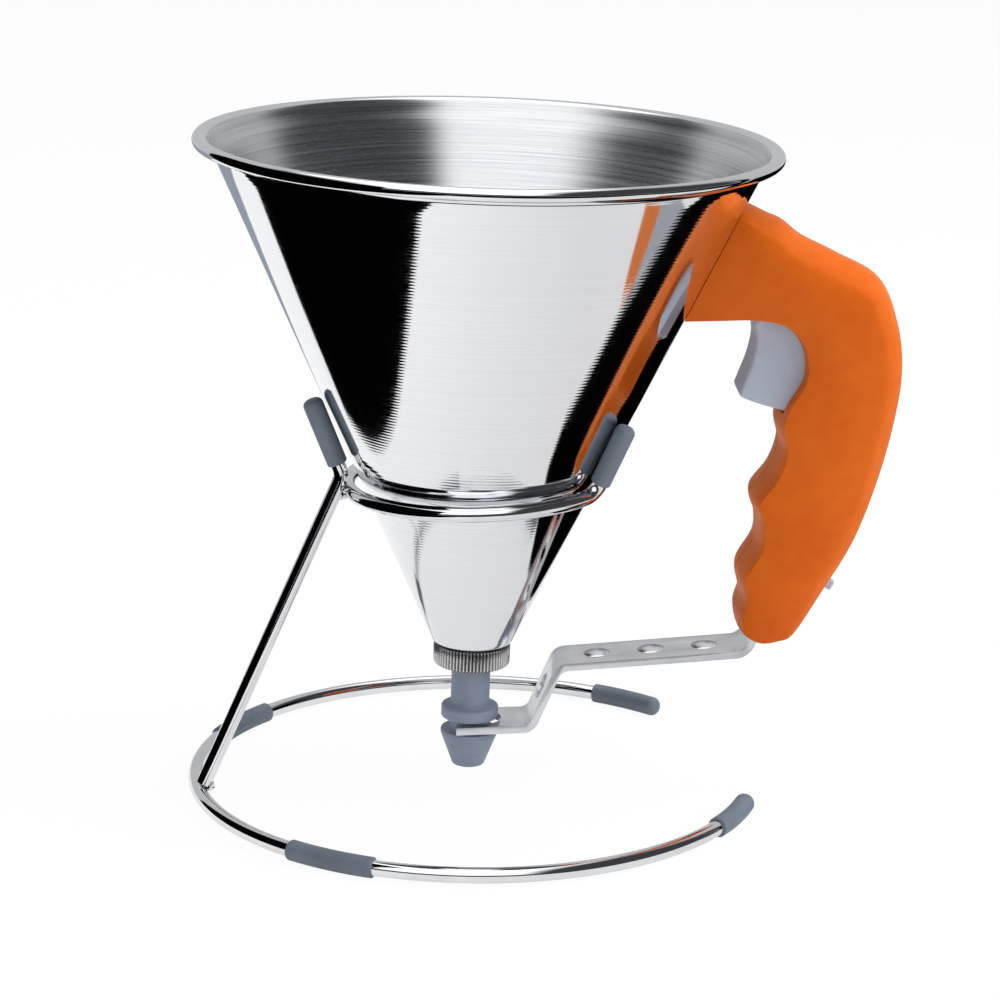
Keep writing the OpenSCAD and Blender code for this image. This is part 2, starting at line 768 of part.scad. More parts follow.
module swept(path, r, sides) {
    count = len(path);
    function dir(i) =
        let (run = path[min(i + 1, count - 1)] - path[max(i - 1, 0)]) run / norm(run);
    points = [for (i = [0:count - 1], k = [0:sides - 1])
        let (d = dir(i),
             u = cross(d, [0, 1, 0]) / norm(cross(d, [0, 1, 0])),
             v = cross(d, u),
             angle = 360 * k / sides)
        path[i] + r * (cos(angle) * u + sin(angle) * v)];
    sides_faces = [for (i = [0:count - 2], k = [0:sides - 1])
        let (a = i * sides + k, b = i * sides + (k + 1) % sides)
        [a, b, b + sides, a + sides]];
    polyhedron(points, concat(
        [[for (k = [sides - 1:-1:0]) k]],
        sides_faces,
        [[for (k = [0:sides - 1]) (count - 1) * sides + k]]));
}

module return_spring() {
    color(STEEL) leaned() swept(spring_path(), spring_wire, 8);
}

// Handle

module handle_bracket() {
    pad_t = 1;
    pad_low = head_bottom + 6;
    pad_high = head_bottom + 21;
    color(STEEL) leaned()
        difference() {
            union() {
                intersection() {
                    cone_shell(0.03, pad_t + 0.03);
                    translate([0, -7, pad_low]) cube([rim_r, 14, pad_high - pad_low]);
                }
                difference() {
                    translate([head_x, -tongue_t / 2, pad_low + 1])
                        cube([15.5, tongue_t, pad_high - pad_low - 2]);
                    cone_solid(0.03 + pad_t / 2);
                }
            }
            handle_frame() across(SCREWS[0], screw_r + 0.05, -handle_t, handle_t);
        }
}

module cone_solid(grow) {
    low = foot_z + 10;
    high = rim_z;
    translate([0, 0, low])
        cylinder(r1 = cone_r(low) + grow / cone_cos, r2 = cone_r(high) + grow / cone_cos, h = high - low);
}

module cone_shell(inside, outside) {
    difference() {
        cone_solid(outside);
        cone_solid(inside);
    }
}

// A flat face over a ring of points, in strips from the grip's back to its front
function strips(count, first) =
    let (ends = (len(GRIP) - 1) * GRIP_STEPS)
    concat(
        [for (i = [0:ends / 2 - 1])
            let (quad = [first + i, first + i + 1, first + ends - i - 1, first + ends - i])
            quad[1] == quad[2] ? [quad[0], quad[1], quad[3]] : quad],
        [[first, for (i = [ends:count - 1]) first + i]]);

// The handle's outer form, lofted from one side face to the other
module grip_form() {
    outline = smooth(GRIP, GRIP_STEPS);
    count = len(outline);
    rings = [for (k = [-SIDE_STEPS:SIDE_STEPS])
        let (turn = 90 * k / SIDE_STEPS)
        side_ring(outline, handle_t / 2 * sin(turn), 1 - cos(turn))];
    points = [for (r = rings, p = r) p];
    last = 2 * SIDE_STEPS * count;
    polyhedron(points, concat(
        strips(count, 0),
        [for (k = [0:2 * SIDE_STEPS - 1], i = [0:count - 1], half = [0, 1])
            let (a = k * count + i, b = k * count + (i + 1) % count)
            half == 0 ? [a, a + count, b + count] : [a, b + count, b]],
        [for (face = strips(count, last)) backwards(face)]));
}

// The half of that form on one side of the seam
module half_form(side) {
    intersection() {
        grip_form();
        translate([-handle_t, side > 0 ? 0 : -handle_t, -head_rise - handle_t])
            cube([head_rise + handle_t * 2, handle_t, head_rise * 2]);
    }
}

// The paddle's outline swept through its turn, with the room above it
module travel_outline() {
    for (k = [0:3])
        translate([pivot_x, pivot_z])
            rotate(-squeeze * k / 3)
                translate([head_x - pivot_x, head_bottom - pivot_z])
                    offset(delta = 0.8) polygon(PADDLE);
    translate([head_x + 19.2, head_bottom - 4]) square([22, 9]);
}

// Room for the trigger and the lever through their whole turn
module travel_room() {
    upright_plate(trigger_w + 0.8) travel_outline();
    upright_plate(strip_w + 0.9) polygon(arm_room());
}

function arm_room() =
    let (swing = sin(squeeze),
         half = (strip_t / 2 + 0.7) / cos(arm_lean),
         low = corner_c[1] + 4.5,
         high = pivot_z + 14,
         low_x = arm_x + (low - pivot_z) * tan(arm_lean),
         high_x = arm_x + (high - pivot_z) * tan(arm_lean))
    [
        [corner_c[0] - 9, corner_c[1] - 5], [corner_c[0] - 9, corner_c[1] + 2.4],
        [low_x - half - (pivot_z - low) * swing, low], [high_x - half, high],
        [high_x + half + (high - pivot_z) * swing, high], [low_x + half + 0.3, low],
        [corner_c[0] + 2.6, corner_c[1] - 5]
    ];

module pocket() {
    handle_frame()
        upright_plate(pocket_y * 2)
            offset(delta = -shell_wall) polygon(flat_points(smooth(GRIP, GRIP_STEPS)));
}

// The two chamfers where the head meets the cone
module head_chamfers() {
    for (side = [-1, 1])
        translate([head_x + head_chamfer, side * handle_t / 2, head_bottom])
            rotate([0, cone_angle, 0])
                rotate([0, 0, side * 38])
                    translate([-12, side > 0 ? 0 : -10, -20]) cube([24, 10, 80]);
}

module slider_frame() {
    handle_frame()
        translate([slider_at[0], 0, slider_at[1]])
            rotate([0, 180 - slider_dir, 0]) children();
}

module shell(side) {
    tongue_half = tongue_t / 2 + 0.1;
    color(ORANGE) leaned()
        difference() {
            union() {
                difference() {
                    handle_frame() half_form(side);
                    pocket();
                }
                intersection() {
                    handle_frame() half_form(side);
                    handle_frame()
                        for (i = [0:len(SCREWS) - 1])
                            across(SCREWS[i], boss_r,
                                   side > 0 ? (i == 0 ? tongue_half : 0) : -handle_t / 2,
                                   side > 0 ? handle_t / 2 : (i == 0 ? -tongue_half : 0));
                }
                if (side > 0)
                    across(peg_at, 1, spring_y - 0.6, pocket_y + 0.5);
            }
            cone_solid(cone_gap);
            head_chamfers();
            travel_room();
            across([pivot_x, pivot_z], pin_r + 0.02, -pocket_y - 2.3, pocket_y + 2.3);
            across([pivot_x, pivot_z], hub_r + 0.3, -pocket_y, pocket_y);
            handle_frame()
                for (p = SCREWS) {
                    across(p, screw_r + (side > 0 ? 0.15 : 0.02), -pocket_y - 1.6, handle_t);
                    if (side > 0)
                        across(p, screw_head_r + 0.2, handle_t / 2 - 3, handle_t);
                }
            slider_frame()
                translate([-1.8 - slider_travel, -1.65, -shell_wall - 2])
                    cube([3.6 + slider_travel, 3.3, shell_wall + 6]);
        }
}

module handle_shell_front() {
    shell(-1);
}

module handle_shell_back() {
    shell(1);
}

module handle_screws() {
    color(STEEL) leaned() handle_frame()
        for (p = SCREWS) {
            across(p, screw_r, -pocket_y - 1.5, handle_t / 2 - 2.9);
            across(p, screw_head_r, handle_t / 2 - 2.95, handle_t / 2 - 1);
        }
}

// Its neck runs in a slot in the handle's back, held by a flange inside the shells
module flow_slider() {
    color(LIGHT_GREY) leaned() slider_frame() {
        translate([-1.3, -1.4, -shell_wall - 0.5]) cube([2.6, 2.8, shell_wall + 2.6]);
        translate([-3.4, -4, -shell_wall - 1.9]) cube([6.8, 8, 1.4]);
    }
}

base_ring();
upright();
cradle_ring();
weld_beads();
foot_sleeve_front();
foot_sleeve_back();
end_cap_front();
end_cap_back();
prong_sleeve_left();
prong_sleeve_front();
prong_sleeve_back();
hopper_cone();
spout_ferrule();
stem_seal();
neck_gasket();
knurled_nut();
piston_nozzle();
lever_arm();
trigger();
trigger_rivets();
pivot_pin();
return_spring();
handle_bracket();
handle_shell_front();
handle_shell_back();
handle_screws();
flow_slider();
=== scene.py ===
"""Looks of the pancake batter dispenser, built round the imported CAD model."""

import math

import bmesh
import bpy
from mathutils import Matrix, Vector, noise


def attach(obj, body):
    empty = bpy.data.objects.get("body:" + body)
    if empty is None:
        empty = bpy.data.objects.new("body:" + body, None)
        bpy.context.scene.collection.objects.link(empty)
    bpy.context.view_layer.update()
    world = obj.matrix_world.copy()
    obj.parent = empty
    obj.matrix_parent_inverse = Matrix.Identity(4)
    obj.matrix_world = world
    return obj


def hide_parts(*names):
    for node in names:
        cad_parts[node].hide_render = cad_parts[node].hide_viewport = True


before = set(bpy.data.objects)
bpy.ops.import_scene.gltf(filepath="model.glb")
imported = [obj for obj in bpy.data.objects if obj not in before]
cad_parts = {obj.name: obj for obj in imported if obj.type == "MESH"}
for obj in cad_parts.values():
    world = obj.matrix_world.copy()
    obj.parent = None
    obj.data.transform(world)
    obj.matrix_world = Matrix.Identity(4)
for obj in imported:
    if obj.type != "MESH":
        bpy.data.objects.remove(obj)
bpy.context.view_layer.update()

MM = 0.001
SCENE = bpy.context.scene
rad = math.radians


def cosd(degrees):
    return math.cos(rad(degrees))


def sind(degrees):
    return math.sin(rad(degrees))


def tand(degrees):
    return math.tan(rad(degrees))


# -------- named sizes, in mm and degrees
LEAN_DEG = 1.2
PITCH_DEG = 0.75
TURN_DEG = 13.0
CRADLE_Z = 83.3
WIRE_R = 2.0
SLEEVE_R = 2.65
FOOT_FLAT = 0.1
BASE_R = 74.2
BASE_Z = SLEEVE_R - FOOT_FLAT
BASE_GAP = 30.5
DEG_PER_MM = 180 / (math.pi * BASE_R)
WIRE_END = BASE_GAP + SLEEVE_R * DEG_PER_MM
END_CAP_LEN = 19.5
FOOT_SLEEVE_LEN = 24.0
FRONT_SLEEVE = -133.0
BACK_SLEEVE = 137.0
CRADLE_TILT = 2.4
CRADLE_SHIFT = 0.6
PRONG_ANGLE = 46.5
FREE_LEAN = 25.5
LEFT_LEAN = 21.8
FREE_RISE = 18.0
LEFT_RISE = 21.3
KNEE_RISE = 2.9
KNEE_R = 5.0
PRONG_BEND = 3.8
FREE_SLEEVE_LEN = 15.0
LEFT_SLEEVE_LEN = 16.3
SLEEVE_OVER = 2.1
FREE_GAP = 0.35
LEFT_GAP = 0.5

CONE_ANGLE = 24.7
CONE_TAN = tand(CONE_ANGLE)
CONE_COS = cosd(CONE_ANGLE)
CONE_WALL = 0.8
FOOT_Z = 40.0
FOOT_R = 10.9
FOOT_BORE = 8.4
BEAD_R = 1.6
BEAD_X = 73.4
LIP_FLARE = 2.2
RIM_Z = FOOT_Z + (BEAD_X - LIP_FLARE - FOOT_R) / CONE_TAN
FLARE_Z = RIM_Z - 3
LINE_W = 0.12
NUT_R = 10.15
KNURL_DEPTH = 0.45

HANDLE_T = 26.0
HEAD_RISE = 89.3
HEAD_BOTTOM = FOOT_Z + HEAD_RISE
HEAD_X = FOOT_R + HEAD_RISE * CONE_TAN
HEAD = (HEAD_X, HEAD_BOTTOM)
PIVOT = (28.0, -79.8)
ARM_LEAN = 13.0
SQUEEZE = 5.0
STRIP_W = 15.5
STRIP_T = 2.0
HUB_R = 3.6
PADDLE_HALF = 7.0

# The funnel is drawn upright and tipped in the cradle, the stand is turned as a whole
TIP = Matrix.Rotation(rad(LEAN_DEG), 4, "Y") @ Matrix.Rotation(rad(PITCH_DEG), 4, "X")
LEAN = (Matrix.Translation((0, 0, CRADLE_Z * MM)) @ TIP
        @ Matrix.Translation((0, 0, -CRADLE_Z * MM)))
TURN = Matrix.Rotation(rad(TURN_DEG), 4, "Z")

# Handle outline in the handle frame: x, z, inset of the side face
GRIP = [
    (6, 27.5, 4), (21, 25.9, 6), (29, 20.9, 7), (38.5, 16.5, 7.5), (49.5, 10.5, 7.5), (55, -1, 7.5),
    (57, -14, 7.5), (55.5, -29, 7.5), (52, -45, 7.5), (47, -60, 7.5), (39.5, -74, 6.5),
    (33, -84.8, 5), (28.5, -87, 4), (23, -87.3, 3), (18.5, -84.5, 2.4), (17, -79.5, 2.2),
    (18, -74.5, 2.2), (17, -68, 2.2), (21, -60, 2.2), (21, -53.5, 2.2), (19.5, -47.5, 2.2),
    (24, -40.5, 2.2), (26, -33.5, 2), (25, -28, 1.6), (26.5, -22.5, 1), (30.5, -14.5, 1),
    (29.5, -6.5, 1), (25, -1.5, 1), (17.5, 0, 1), (8, -0.3, 1), (-2, -0.8, 1), (-12, -1.3, 1),
]
# Middle line of the side faces, towards which they are domed
SPINE = [
    (-4, 12.5), (8, 12.5), (18, 11.5), (27, 9), (35, 4), (40.5, -4), (42.5, -14), (41.5, -26),
    (38.5, -40), (34, -55), (29, -69), (26, -77),
]
# Outline of the trigger's paddle
PADDLE = [
    (17.5, 0), (18, -5.5), (17, -11.5), (15, -17.5), (14.5, -20), (17, -21.5), (24, -23.5),
    (31, -25), (38, -26), (43, -25), (44.5, -20), (43, -13), (39.5, -6.5), (34, -1.5), (28, 1),
    (22, 1.5),
]
SCREWS = [(11.8, 13.7), (49, -3.3), (45, -54.3)]
SLIDER_AT = (40.9, -71.7)
SLIDER_DIR = 61.2
SLIDE_RUN = 6
SCREW_DEEP = 3
RECESS_R = 3.0
CONE_GAP = 0.12


# -------- mesh helpers
def cone_r(z):
    """Outside radius of the upright cone at height z."""
    return FOOT_R + (z - FOOT_Z) * CONE_TAN


def placed(name, data, matrix=None):
    """A new object of the scene that shows data, standing at matrix."""
    piece = bpy.data.objects.new(name, data)
    SCENE.collection.objects.link(piece)
    if matrix is not None:
        piece.matrix_world = matrix
    return piece


def shade(mesh, angle):
    """Smooth shading, with creases where faces meet at more than angle."""
    mesh.shade_smooth()
    mesh.set_sharp_from_angle(angle=rad(angle))


def make(name, points, faces, matrix, angle=30):
    """A mesh object from points in mm."""
    mesh = bpy.data.meshes.new(name)
    mesh.from_pydata([tuple(c * MM for c in p) for p in points], [], faces)
    mesh.validate()
    work = bmesh.new()
    work.from_mesh(mesh)
    bmesh.ops.remove_doubles(work, verts=work.verts, dist=0.002 * MM)
    bmesh.ops.recalc_face_normals(work, faces=work.faces)
    work.to_mesh(mesh)
    work.free()
    shade(mesh, angle)
    return placed(name, mesh, matrix)


def grid_faces(rings, sides, closed=False):
    """Quads between rings of points, and from the last ring to the first if closed."""
    faces = []
    for i in range(rings if closed else rings - 1):
        a = i * sides
        b = (i + 1) % rings * sides
        for k in range(sides):
            n = (k + 1) % sides
            faces.append((a + k, a + n, b + n, b + k))
    return faces


def capped_faces(rings, sides):
    """Quads between rings of points, with a face over the first ring and over the last."""
    faces = grid_faces(rings, sides)
    faces.append(tuple(range(sides - 1, -1, -1)))
    faces.append(tuple((rings - 1) * sides + k for k in range(sides)))
    return faces


def lathe(name, profile, sides, matrix, closed=False, angle=30):
    """A profile of (r, z) turned round Z."""
    turns = [2 * math.pi * k / sides for k in range(sides)]
    points = [(r * math.cos(turn), r * math.sin(turn), z) for r, z in profile for turn in turns]
    return make(name, points, grid_faces(len(profile), sides, closed), matrix, angle)


def tube(name, path, radii, sides, matrix, floor=None, angle=30):
    """A rod along path (Vectors in mm), a radius for each point, cut flat at floor."""
    points = []
    side = None
    count = len(path)
    for i, p in enumerate(path):
        along = (path[min(i + 1, count - 1)] - path[max(i - 1, 0)]).normalized()
        if side is None:
            side = Vector((0, 0, 1)) if abs(along.z) < 0.9 else Vector((1, 0, 0))
        side = (side - along * side.dot(along)).normalized()
        other = along.cross(side)
        for k in range(sides):
            turn = 2 * math.pi * k / sides
            q = p + radii[i] * (math.cos(turn) * side + math.sin(turn) * other)
            if floor is not None:
                q.z = max(q.z, floor)
            points.append(tuple(q))
    return make(name, points, capped_faces(count, sides), matrix, angle)


def arc(cx, cy, r, first, last, steps):
    """Points of an arc round (cx, cy) from the angle first to the angle last."""
    turns = [rad(first + (last - first) * k / steps) for k in range(steps + 1)]
    return [(cx + r * math.cos(turn), cy + r * math.sin(turn)) for turn in turns]


def spline(points, steps):
    """Points of a closed smooth curve through the given ones."""
    out = []
    n = len(points)
    for i in range(n):
        a, b, c, d = (points[(i + k) % n] for k in (-1, 0, 1, 2))
        for s in range(steps):
            t = s / steps
            out.append(tuple(
                0.5 * (2 * q + (r - p) * t + (2 * p - 5 * q + 4 * r - w) * t * t
                       + (3 * q - p - 3 * r + w) * t ** 3)
                for p, q, r, w in zip(a, b, c, d)))
    return out


def inset(points, amounts, reach):
    """The outline drawn in by an amount for each point, square to its neighbours at reach."""
    n = len(points)
    area = sum(a[0] * b[1] - b[0] * a[1] for a, b in zip(points, points[1:] + points[:1]))
    sign = 1 if area > 0 else -1
    out = []
    for i, (x, z) in enumerate(points):
        a = points[(i - reach) % n]
        b = points[(i + reach) % n]
        dx, dz = b[0] - a[0], b[1] - a[1]
        length = math.hypot(dx, dz) or 1.0
        out.append((x - dz * sign / length * amounts[i], z + dx * sign / length * amounts[i]))
    return out


def even_inset(points, amount, reach=1):
    return inset(points, [amount] * len(points), reach)


def slab(name, rings, at, matrix, angle=30):
    """A form lofted through rings of (y, [(x, z), ...]) with flat end faces."""
    points = []
    for y, ring in rings:
        points += [(x + at[0], y, z + at[1]) for x, z in ring]
    return make(name, points, capped_faces(len(rings), len(rings[0][1])), matrix, angle)


def plate(name, outline, half, at, matrix, edge, steps, reach):
    """An outline in X and Z, half mm thick to each side of Y = 0, with round edges."""
    back = []
    for k in range(steps + 1):
        turn = math.pi / 2 * k / steps
        ring = even_inset(outline, edge * (1 - math.sin(turn)), reach)
        back.append((half - edge * (1 - math.cos(turn)), ring))
    front = [(-y, ring) for y, ring in back]
    return slab(name, front + back[::-1], at, matrix, 40)


def rod(name, a, b, r, sides, matrix):
    return tube(name, [Vector(a), Vector(b)], [r, r], sides, matrix)


def block(name, low, high, matrix):
    """A box between two corners."""
    x0, y0, z0 = low
    x1, y1, z1 = high
    points = [(x, y, z) for z in (z0, z1) for y in (y0, y1) for x in (x0, x1)]
    faces = [(0, 2, 3, 1), (4, 5, 7, 6), (0, 1, 5, 4), (2, 6, 7, 3), (0, 4, 6, 2), (1, 3, 7, 5)]
    return make(name, points, faces, matrix)


def bake(piece):
    """Gives the piece a mesh with its modifiers applied, and returns that mesh."""
    bpy.context.view_layer.update()
    graph = bpy.context.evaluated_depsgraph_get()
    mesh = bpy.data.meshes.new_from_object(piece.evaluated_get(graph))
    piece.modifiers.clear()
    old = piece.data
    piece.data = mesh
    bpy.data.meshes.remove(old)
    return mesh


def combine(piece, others, operation, angle):
    """Cuts the others out of the piece, or joins them to it, and removes them."""
    for other in others:
        step = piece.modifiers.new("step", "BOOLEAN")
        step.object = other
        step.operation = operation
        step.solver = "EXACT"
    mesh = bake(piece)
    for other in others:
        bpy.data.objects.remove(other)
    work = bmesh.new()
    work.from_mesh(mesh)
    bmesh.ops.remove_doubles(work, verts=work.verts, dist=0.001 * MM)
    bmesh.ops.dissolve_degenerate(work, edges=work.edges, dist=0.001 * MM)
    work.to_mesh(mesh)
    work.free()
    shade(mesh, angle)


def soften(piece, width, segments, angle):
    """Rounds the piece's sharp edges by width in mm."""
    step = piece.modifiers.new("soft_edges", "BEVEL")
    step.width = width * MM
    step.segments = segments
    step.limit_method = "ANGLE"
    step.angle_limit = rad(angle)
    shade(bake(piece), angle)


# -------- material helpers
def lin(r, g, b):
    """A display colour from 0 to 255 as Blender's linear colour."""
    parts = [v / 255 for v in (r, g, b)]
    return (*(v / 12.92 if v <= 0.04045 else ((v + 0.055) / 1.055) ** 2.4 for v in parts), 1.0)


class Nodes:
    """Helpers for a node tree."""

    def __init__(self, tree):
        self.tree = tree

    def fill(self, node, inputs):
        """Gives each named input of a node its value, or a link where that is a socket."""
        for key, value in inputs.items():
            if isinstance(value, bpy.types.NodeSocket):
                self.tree.links.new(value, node.inputs[key])
            else:
                node.inputs[key].default_value = value

    def add(self, kind, inputs=None, **settings):
        node = self.tree.nodes.new(kind)
        for key, value in settings.items():
            setattr(node, key, value)
        self.fill(node, inputs or {})
        return node

    def spread(self, value, low, high, from_low=0.3, from_high=0.7, kind="LINEAR"):
        """The value's range from from_low to from_high, drawn out to low and high."""
        inputs = {"Value": value, "From Min": from_low, "From Max": from_high,
                  "To Min": low, "To Max": high}
        return self.add("ShaderNodeMapRange", inputs, interpolation_type=kind).outputs["Result"]

    def ramp(self, value, dark, light, low=0.0, high=1.0):
        """The colour dark up to low and light from high on."""
        node = self.add("ShaderNodeValToRGB", {"Fac": value})
        first, last = node.color_ramp.elements
        first.position, last.position = low, high
        first.color, last.color = dark, light
        return node.outputs["Color"]


def node_material(name):
    mat = bpy.data.materials.new(name)
    mat.use_nodes = True
    return mat


class Paint(Nodes):
    """A node material with its principled shader."""

    def __init__(self, name, rough, metal=0.0, specular=0.5):
        self.mat = node_material(name)
        super().__init__(self.mat.node_tree)
        self.shader = self.tree.nodes["Principled BSDF"]
        self.fill(self.shader, {"Roughness": rough, "Metallic": metal,
                                "Specular IOR Level": specular})
        self.place = self.add("ShaderNodeTexCoord").outputs["Object"]

    def set(self, socket, value):
        self.fill(self.shader, {socket: value})

    def colour(self, value, dark, light, low=0.3, high=0.7):
        """Display colours from dark, where value is low, to light, where it is high."""
        self.set("Base Color", self.ramp(value, lin(*dark), lin(*light), low, high))

    def rough(self, value, low, high):
        self.set("Roughness", self.spread(value, low, high))

    def noise(self, scale, detail=4.0, rough=0.55, stretch=None):
        """Noise from 0 to 1, finer along the axes where stretch is large."""
        place = self.place
        if stretch:
            mapping = self.add("ShaderNodeMapping", {"Vector": place, "Scale": stretch})
            place = mapping.outputs["Vector"]
        node = self.add("ShaderNodeTexNoise", {"Vector": place, "Scale": scale,
                                               "Detail": detail, "Roughness": rough})
        return node.outputs["Fac"]

    def sum(self, a, b, share):
        """a plus share of b."""
        node = self.add("ShaderNodeMath", {0: b, 1: share, 2: a}, operation="MULTIPLY_ADD")
        return node.outputs[0]

    def bump(self, height, depth, before=None):
        """Relief of depth mm over the height's range from 0 to 1, upon the one before."""
        node = self.add("ShaderNodeBump", {"Strength": 1.0, "Distance": depth * MM,
                                           "Height": height})
        if before is not None:
            self.fill(node, {"Normal": before})
        self.set("Normal", node.outputs["Normal"])
        return node.outputs["Normal"]


def turned_rings(paint, pitch):
    """Turned rings round Z, pitch mm apart, from 0 to 1."""
    waves_per_metre = 2 * math.pi / (20 * pitch * MM)
    node = paint.add("ShaderNodeTexWave", {"Vector": paint.place, "Scale": waves_per_metre},
                     wave_type="BANDS", bands_direction="Z", wave_profile="SIN")
    return node.outputs["Fac"]


def spun_steel():
    """Outside of the cone: polished, with turned rings that comb the edges of reflections."""
    p = Paint("spun_steel", 0.06, 1.0)
    streaks = p.noise(1.0, 5, 0.6, (12, 12, 2600))
    p.colour(streaks, (234, 235, 238), (243, 244, 246), 0.2, 0.8)
    p.rough(p.noise(1.0, 3, 0.5, (40, 40, 900)), 0.045, 0.075)
    coarse = p.bump(turned_rings(p, 0.85), 0.0042)
    fine = p.bump(p.noise(1.0, 2, 0.5, (2, 2, 900)), 0.004, before=coarse)
    p.bump(streaks, 0.0006, before=fine)
    return p.mat


def satin_steel():
    """Inside of the cone: fine concentric brushing."""
    p = Paint("satin_steel", 0.3, 1.0)
    streaks = p.noise(1.0, 6, 0.62, (14, 14, 2400))
    p.colour(streaks, (186, 188, 193), (240, 241, 244))
    p.rough(streaks, 0.22, 0.32)
    p.set("Anisotropic", 0.85)
    p.set("Anisotropic Rotation", 0.25)
    around = p.add("ShaderNodeTangent", direction_type="RADIAL", axis="Z")
    p.set("Tangent", around.outputs["Tangent"])
    p.bump(streaks, 0.01)
    return p.mat


def polished_steel(name, dark, light, rough):
    """Bright metal with a faint cloud in its colour."""
    p = Paint(name, 0.1, 1.0)
    p.colour(p.noise(90, 3), dark, light)
    p.rough(p.noise(400, 3), *rough)
    p.bump(p.noise(160, 2), 0.01)
    return p.mat


def knurled_steel():
    """The nut: dull steel, with painted shade that darkens the grooves of the knurl and the faces
    inside them.
    """
    p = Paint("knurled_steel", 0.3, 1.0)
    # Painted shade: the colour darkens with the distance in from the knurl's crests, mixed with a
    # little random mottle.
    flat = p.add("ShaderNodeVectorMath", {0: p.place, 1: (1, 1, 0)}, operation="MULTIPLY")
    radius = p.add("ShaderNodeVectorMath", {0: flat.outputs["Vector"]}, operation="LENGTH")
    share = p.spread(radius.outputs["Value"], 0.0, 1.0, (NUT_R - KNURL_DEPTH) * MM, NUT_R * MM)
    groove_shade_mottled = p.sum(share, p.noise(700, 3), 0.3)
    p.colour(groove_shade_mottled, (96, 96, 97), (222, 222, 223), 0.2, 0.95)
    p.rough(p.noise(500, 3), 0.22, 0.36)
    p.bump(p.noise(900, 3), 0.02)
    return p.mat


def painted_rim_shade():
    """Painted shade: dark metal under the rolled rim and along the spun line below it."""
    p = Paint("painted_rim_shade", 0.35, 1.0)
    p.colour(p.noise(1.0, 3, 0.5, (30, 30, 900)), (40, 42, 48), (66, 68, 75))
    p.rough(p.noise(200, 3), 0.3, 0.45)
    return p.mat


def grained_steel():
    """The lever's strip: satin, with fine grain from tumbling."""
    p = Paint("grained_steel", 0.35, 1.0)
    grain = p.noise(2600, 3, 0.6)
    p.colour(p.noise(160, 4), (222, 224, 229), (240, 241, 245))
    p.rough(grain, 0.26, 0.4)
    p.bump(grain, 0.016)
    return p.mat


def moulded(name, dark, light, rough, grain):
    """Moulded plastic or rubber with cloudy colour and grain that is so many mm deep."""
    p = Paint(name, rough[0], 0.0, 0.45)
    cloud = p.noise(55, 5, 0.6)
    spots = p.noise(420, 3, 0.5)
    mixed = p.sum(p.spread(cloud, 0.0, 0.75), p.spread(spots, 0.0, 1.0), 0.25)
    p.colour(mixed, dark, light, 0.1, 0.9)
    p.rough(spots, *rough)
    soft = p.bump(p.noise(1800, 3, 0.55), grain)
    p.bump(cloud, 0.08, before=soft)
    return p.mat


def orange_plastic():
    """The handle: saturated orange with a faint mottle and an eggshell grain."""
    p = Paint("orange_plastic", 0.5, 0.0, 0.1)
    mixed = p.sum(p.noise(30, 4, 0.55), p.noise(260, 3, 0.5), 0.5)
    p.colour(mixed, (192, 82, 12), (207, 98, 21), 0.45, 1.0)
    p.rough(p.noise(420, 3), 0.42, 0.54)
    p.fill(p.shader, {"Sheen Weight": 0.18, "Sheen Roughness": 0.45,
                      "Sheen Tint": lin(255, 186, 110)})
    soft = p.bump(p.noise(2200, 3, 0.55), 0.012)
    p.bump(p.noise(60, 3), 0.05, before=soft)
    return p.mat


MATERIALS = {
    "spun": spun_steel(),
    "satin": satin_steel(),
    "chrome": polished_steel("bright_wire", (226, 227, 230), (240, 241, 243), (0.05, 0.1)),
    "nut": knurled_steel(),
    # Painted shade under the rim and along the spun line
    "seam": painted_rim_shade(),
    "lever": grained_steel(),
    "pin": polished_steel("pin_steel", (180, 182, 186), (206, 208, 210), (0.2, 0.3)),
    "sleeve": moulded("grey_rubber", (92, 102, 114), (108, 119, 132), (0.48, 0.6), 0.015),
    "seal": moulded("seal_rubber", (84, 88, 94), (98, 102, 108), (0.5, 0.6), 0.01),
    "nozzle": moulded("nozzle_plastic", (126, 138, 156), (140, 152, 170), (0.42, 0.52), 0.01),
    "trigger": moulded("trigger_plastic", (166, 175, 192), (178, 187, 204), (0.4, 0.5), 0.008),
    "orange": orange_plastic(),
}


def finish(piece, body, material, slot, *nodes):
    """Gives a piece its body and material and hides the CAD nodes that it stands for; slot is not
    used.
    """
    piece.data.materials.clear()
    piece.data.materials.append(MATERIALS[material])
    if body == "stand":
        piece.data.transform(piece.matrix_world)
        piece.matrix_world = Matrix.Identity(4)
    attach(piece, body)
    if nodes:
        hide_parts(*nodes)


# -------- wire stand
def polar(r, azimuth, z):
    return Vector((r * cosd(azimuth), r * sind(azimuth), z))


def base_path():
    """Middle line of the base ring's wire, in steps of about 1.5 degrees."""
    run = 360 - 2 * WIRE_END
    count = round(run / 1.5)
    return [polar(BASE_R, WIRE_END + run * i / count, BASE_Z) for i in range(count + 1)]


def wall_r(azimuth, z):
    """Radius at height z of the tipped cone, at an azimuth of the stand."""
    world = rad(azimuth + TURN_DEG)
    tip = math.cos(world) * sind(LEAN_DEG) - math.sin(world) * sind(PITCH_DEG)
    return cone_r(z) + tip * (CONE_TAN * cone_r(z) + z - CRADLE_Z)


FREE_TOP_Z = CRADLE_Z + FREE_RISE
LEFT_TOP_Z = CRADLE_Z + LEFT_RISE
FREE_TOP_R = wall_r(-PRONG_ANGLE, FREE_TOP_Z) + (SLEEVE_R + FREE_GAP) / CONE_COS
LEFT_TOP_R = wall_r(180, LEFT_TOP_Z) + (SLEEVE_R + LEFT_GAP) / CONE_COS


def prong_way(azimuth, lean):
    """Direction of a prong that leans outwards at an azimuth."""
    return polar(sind(lean), azimuth, cosd(lean))


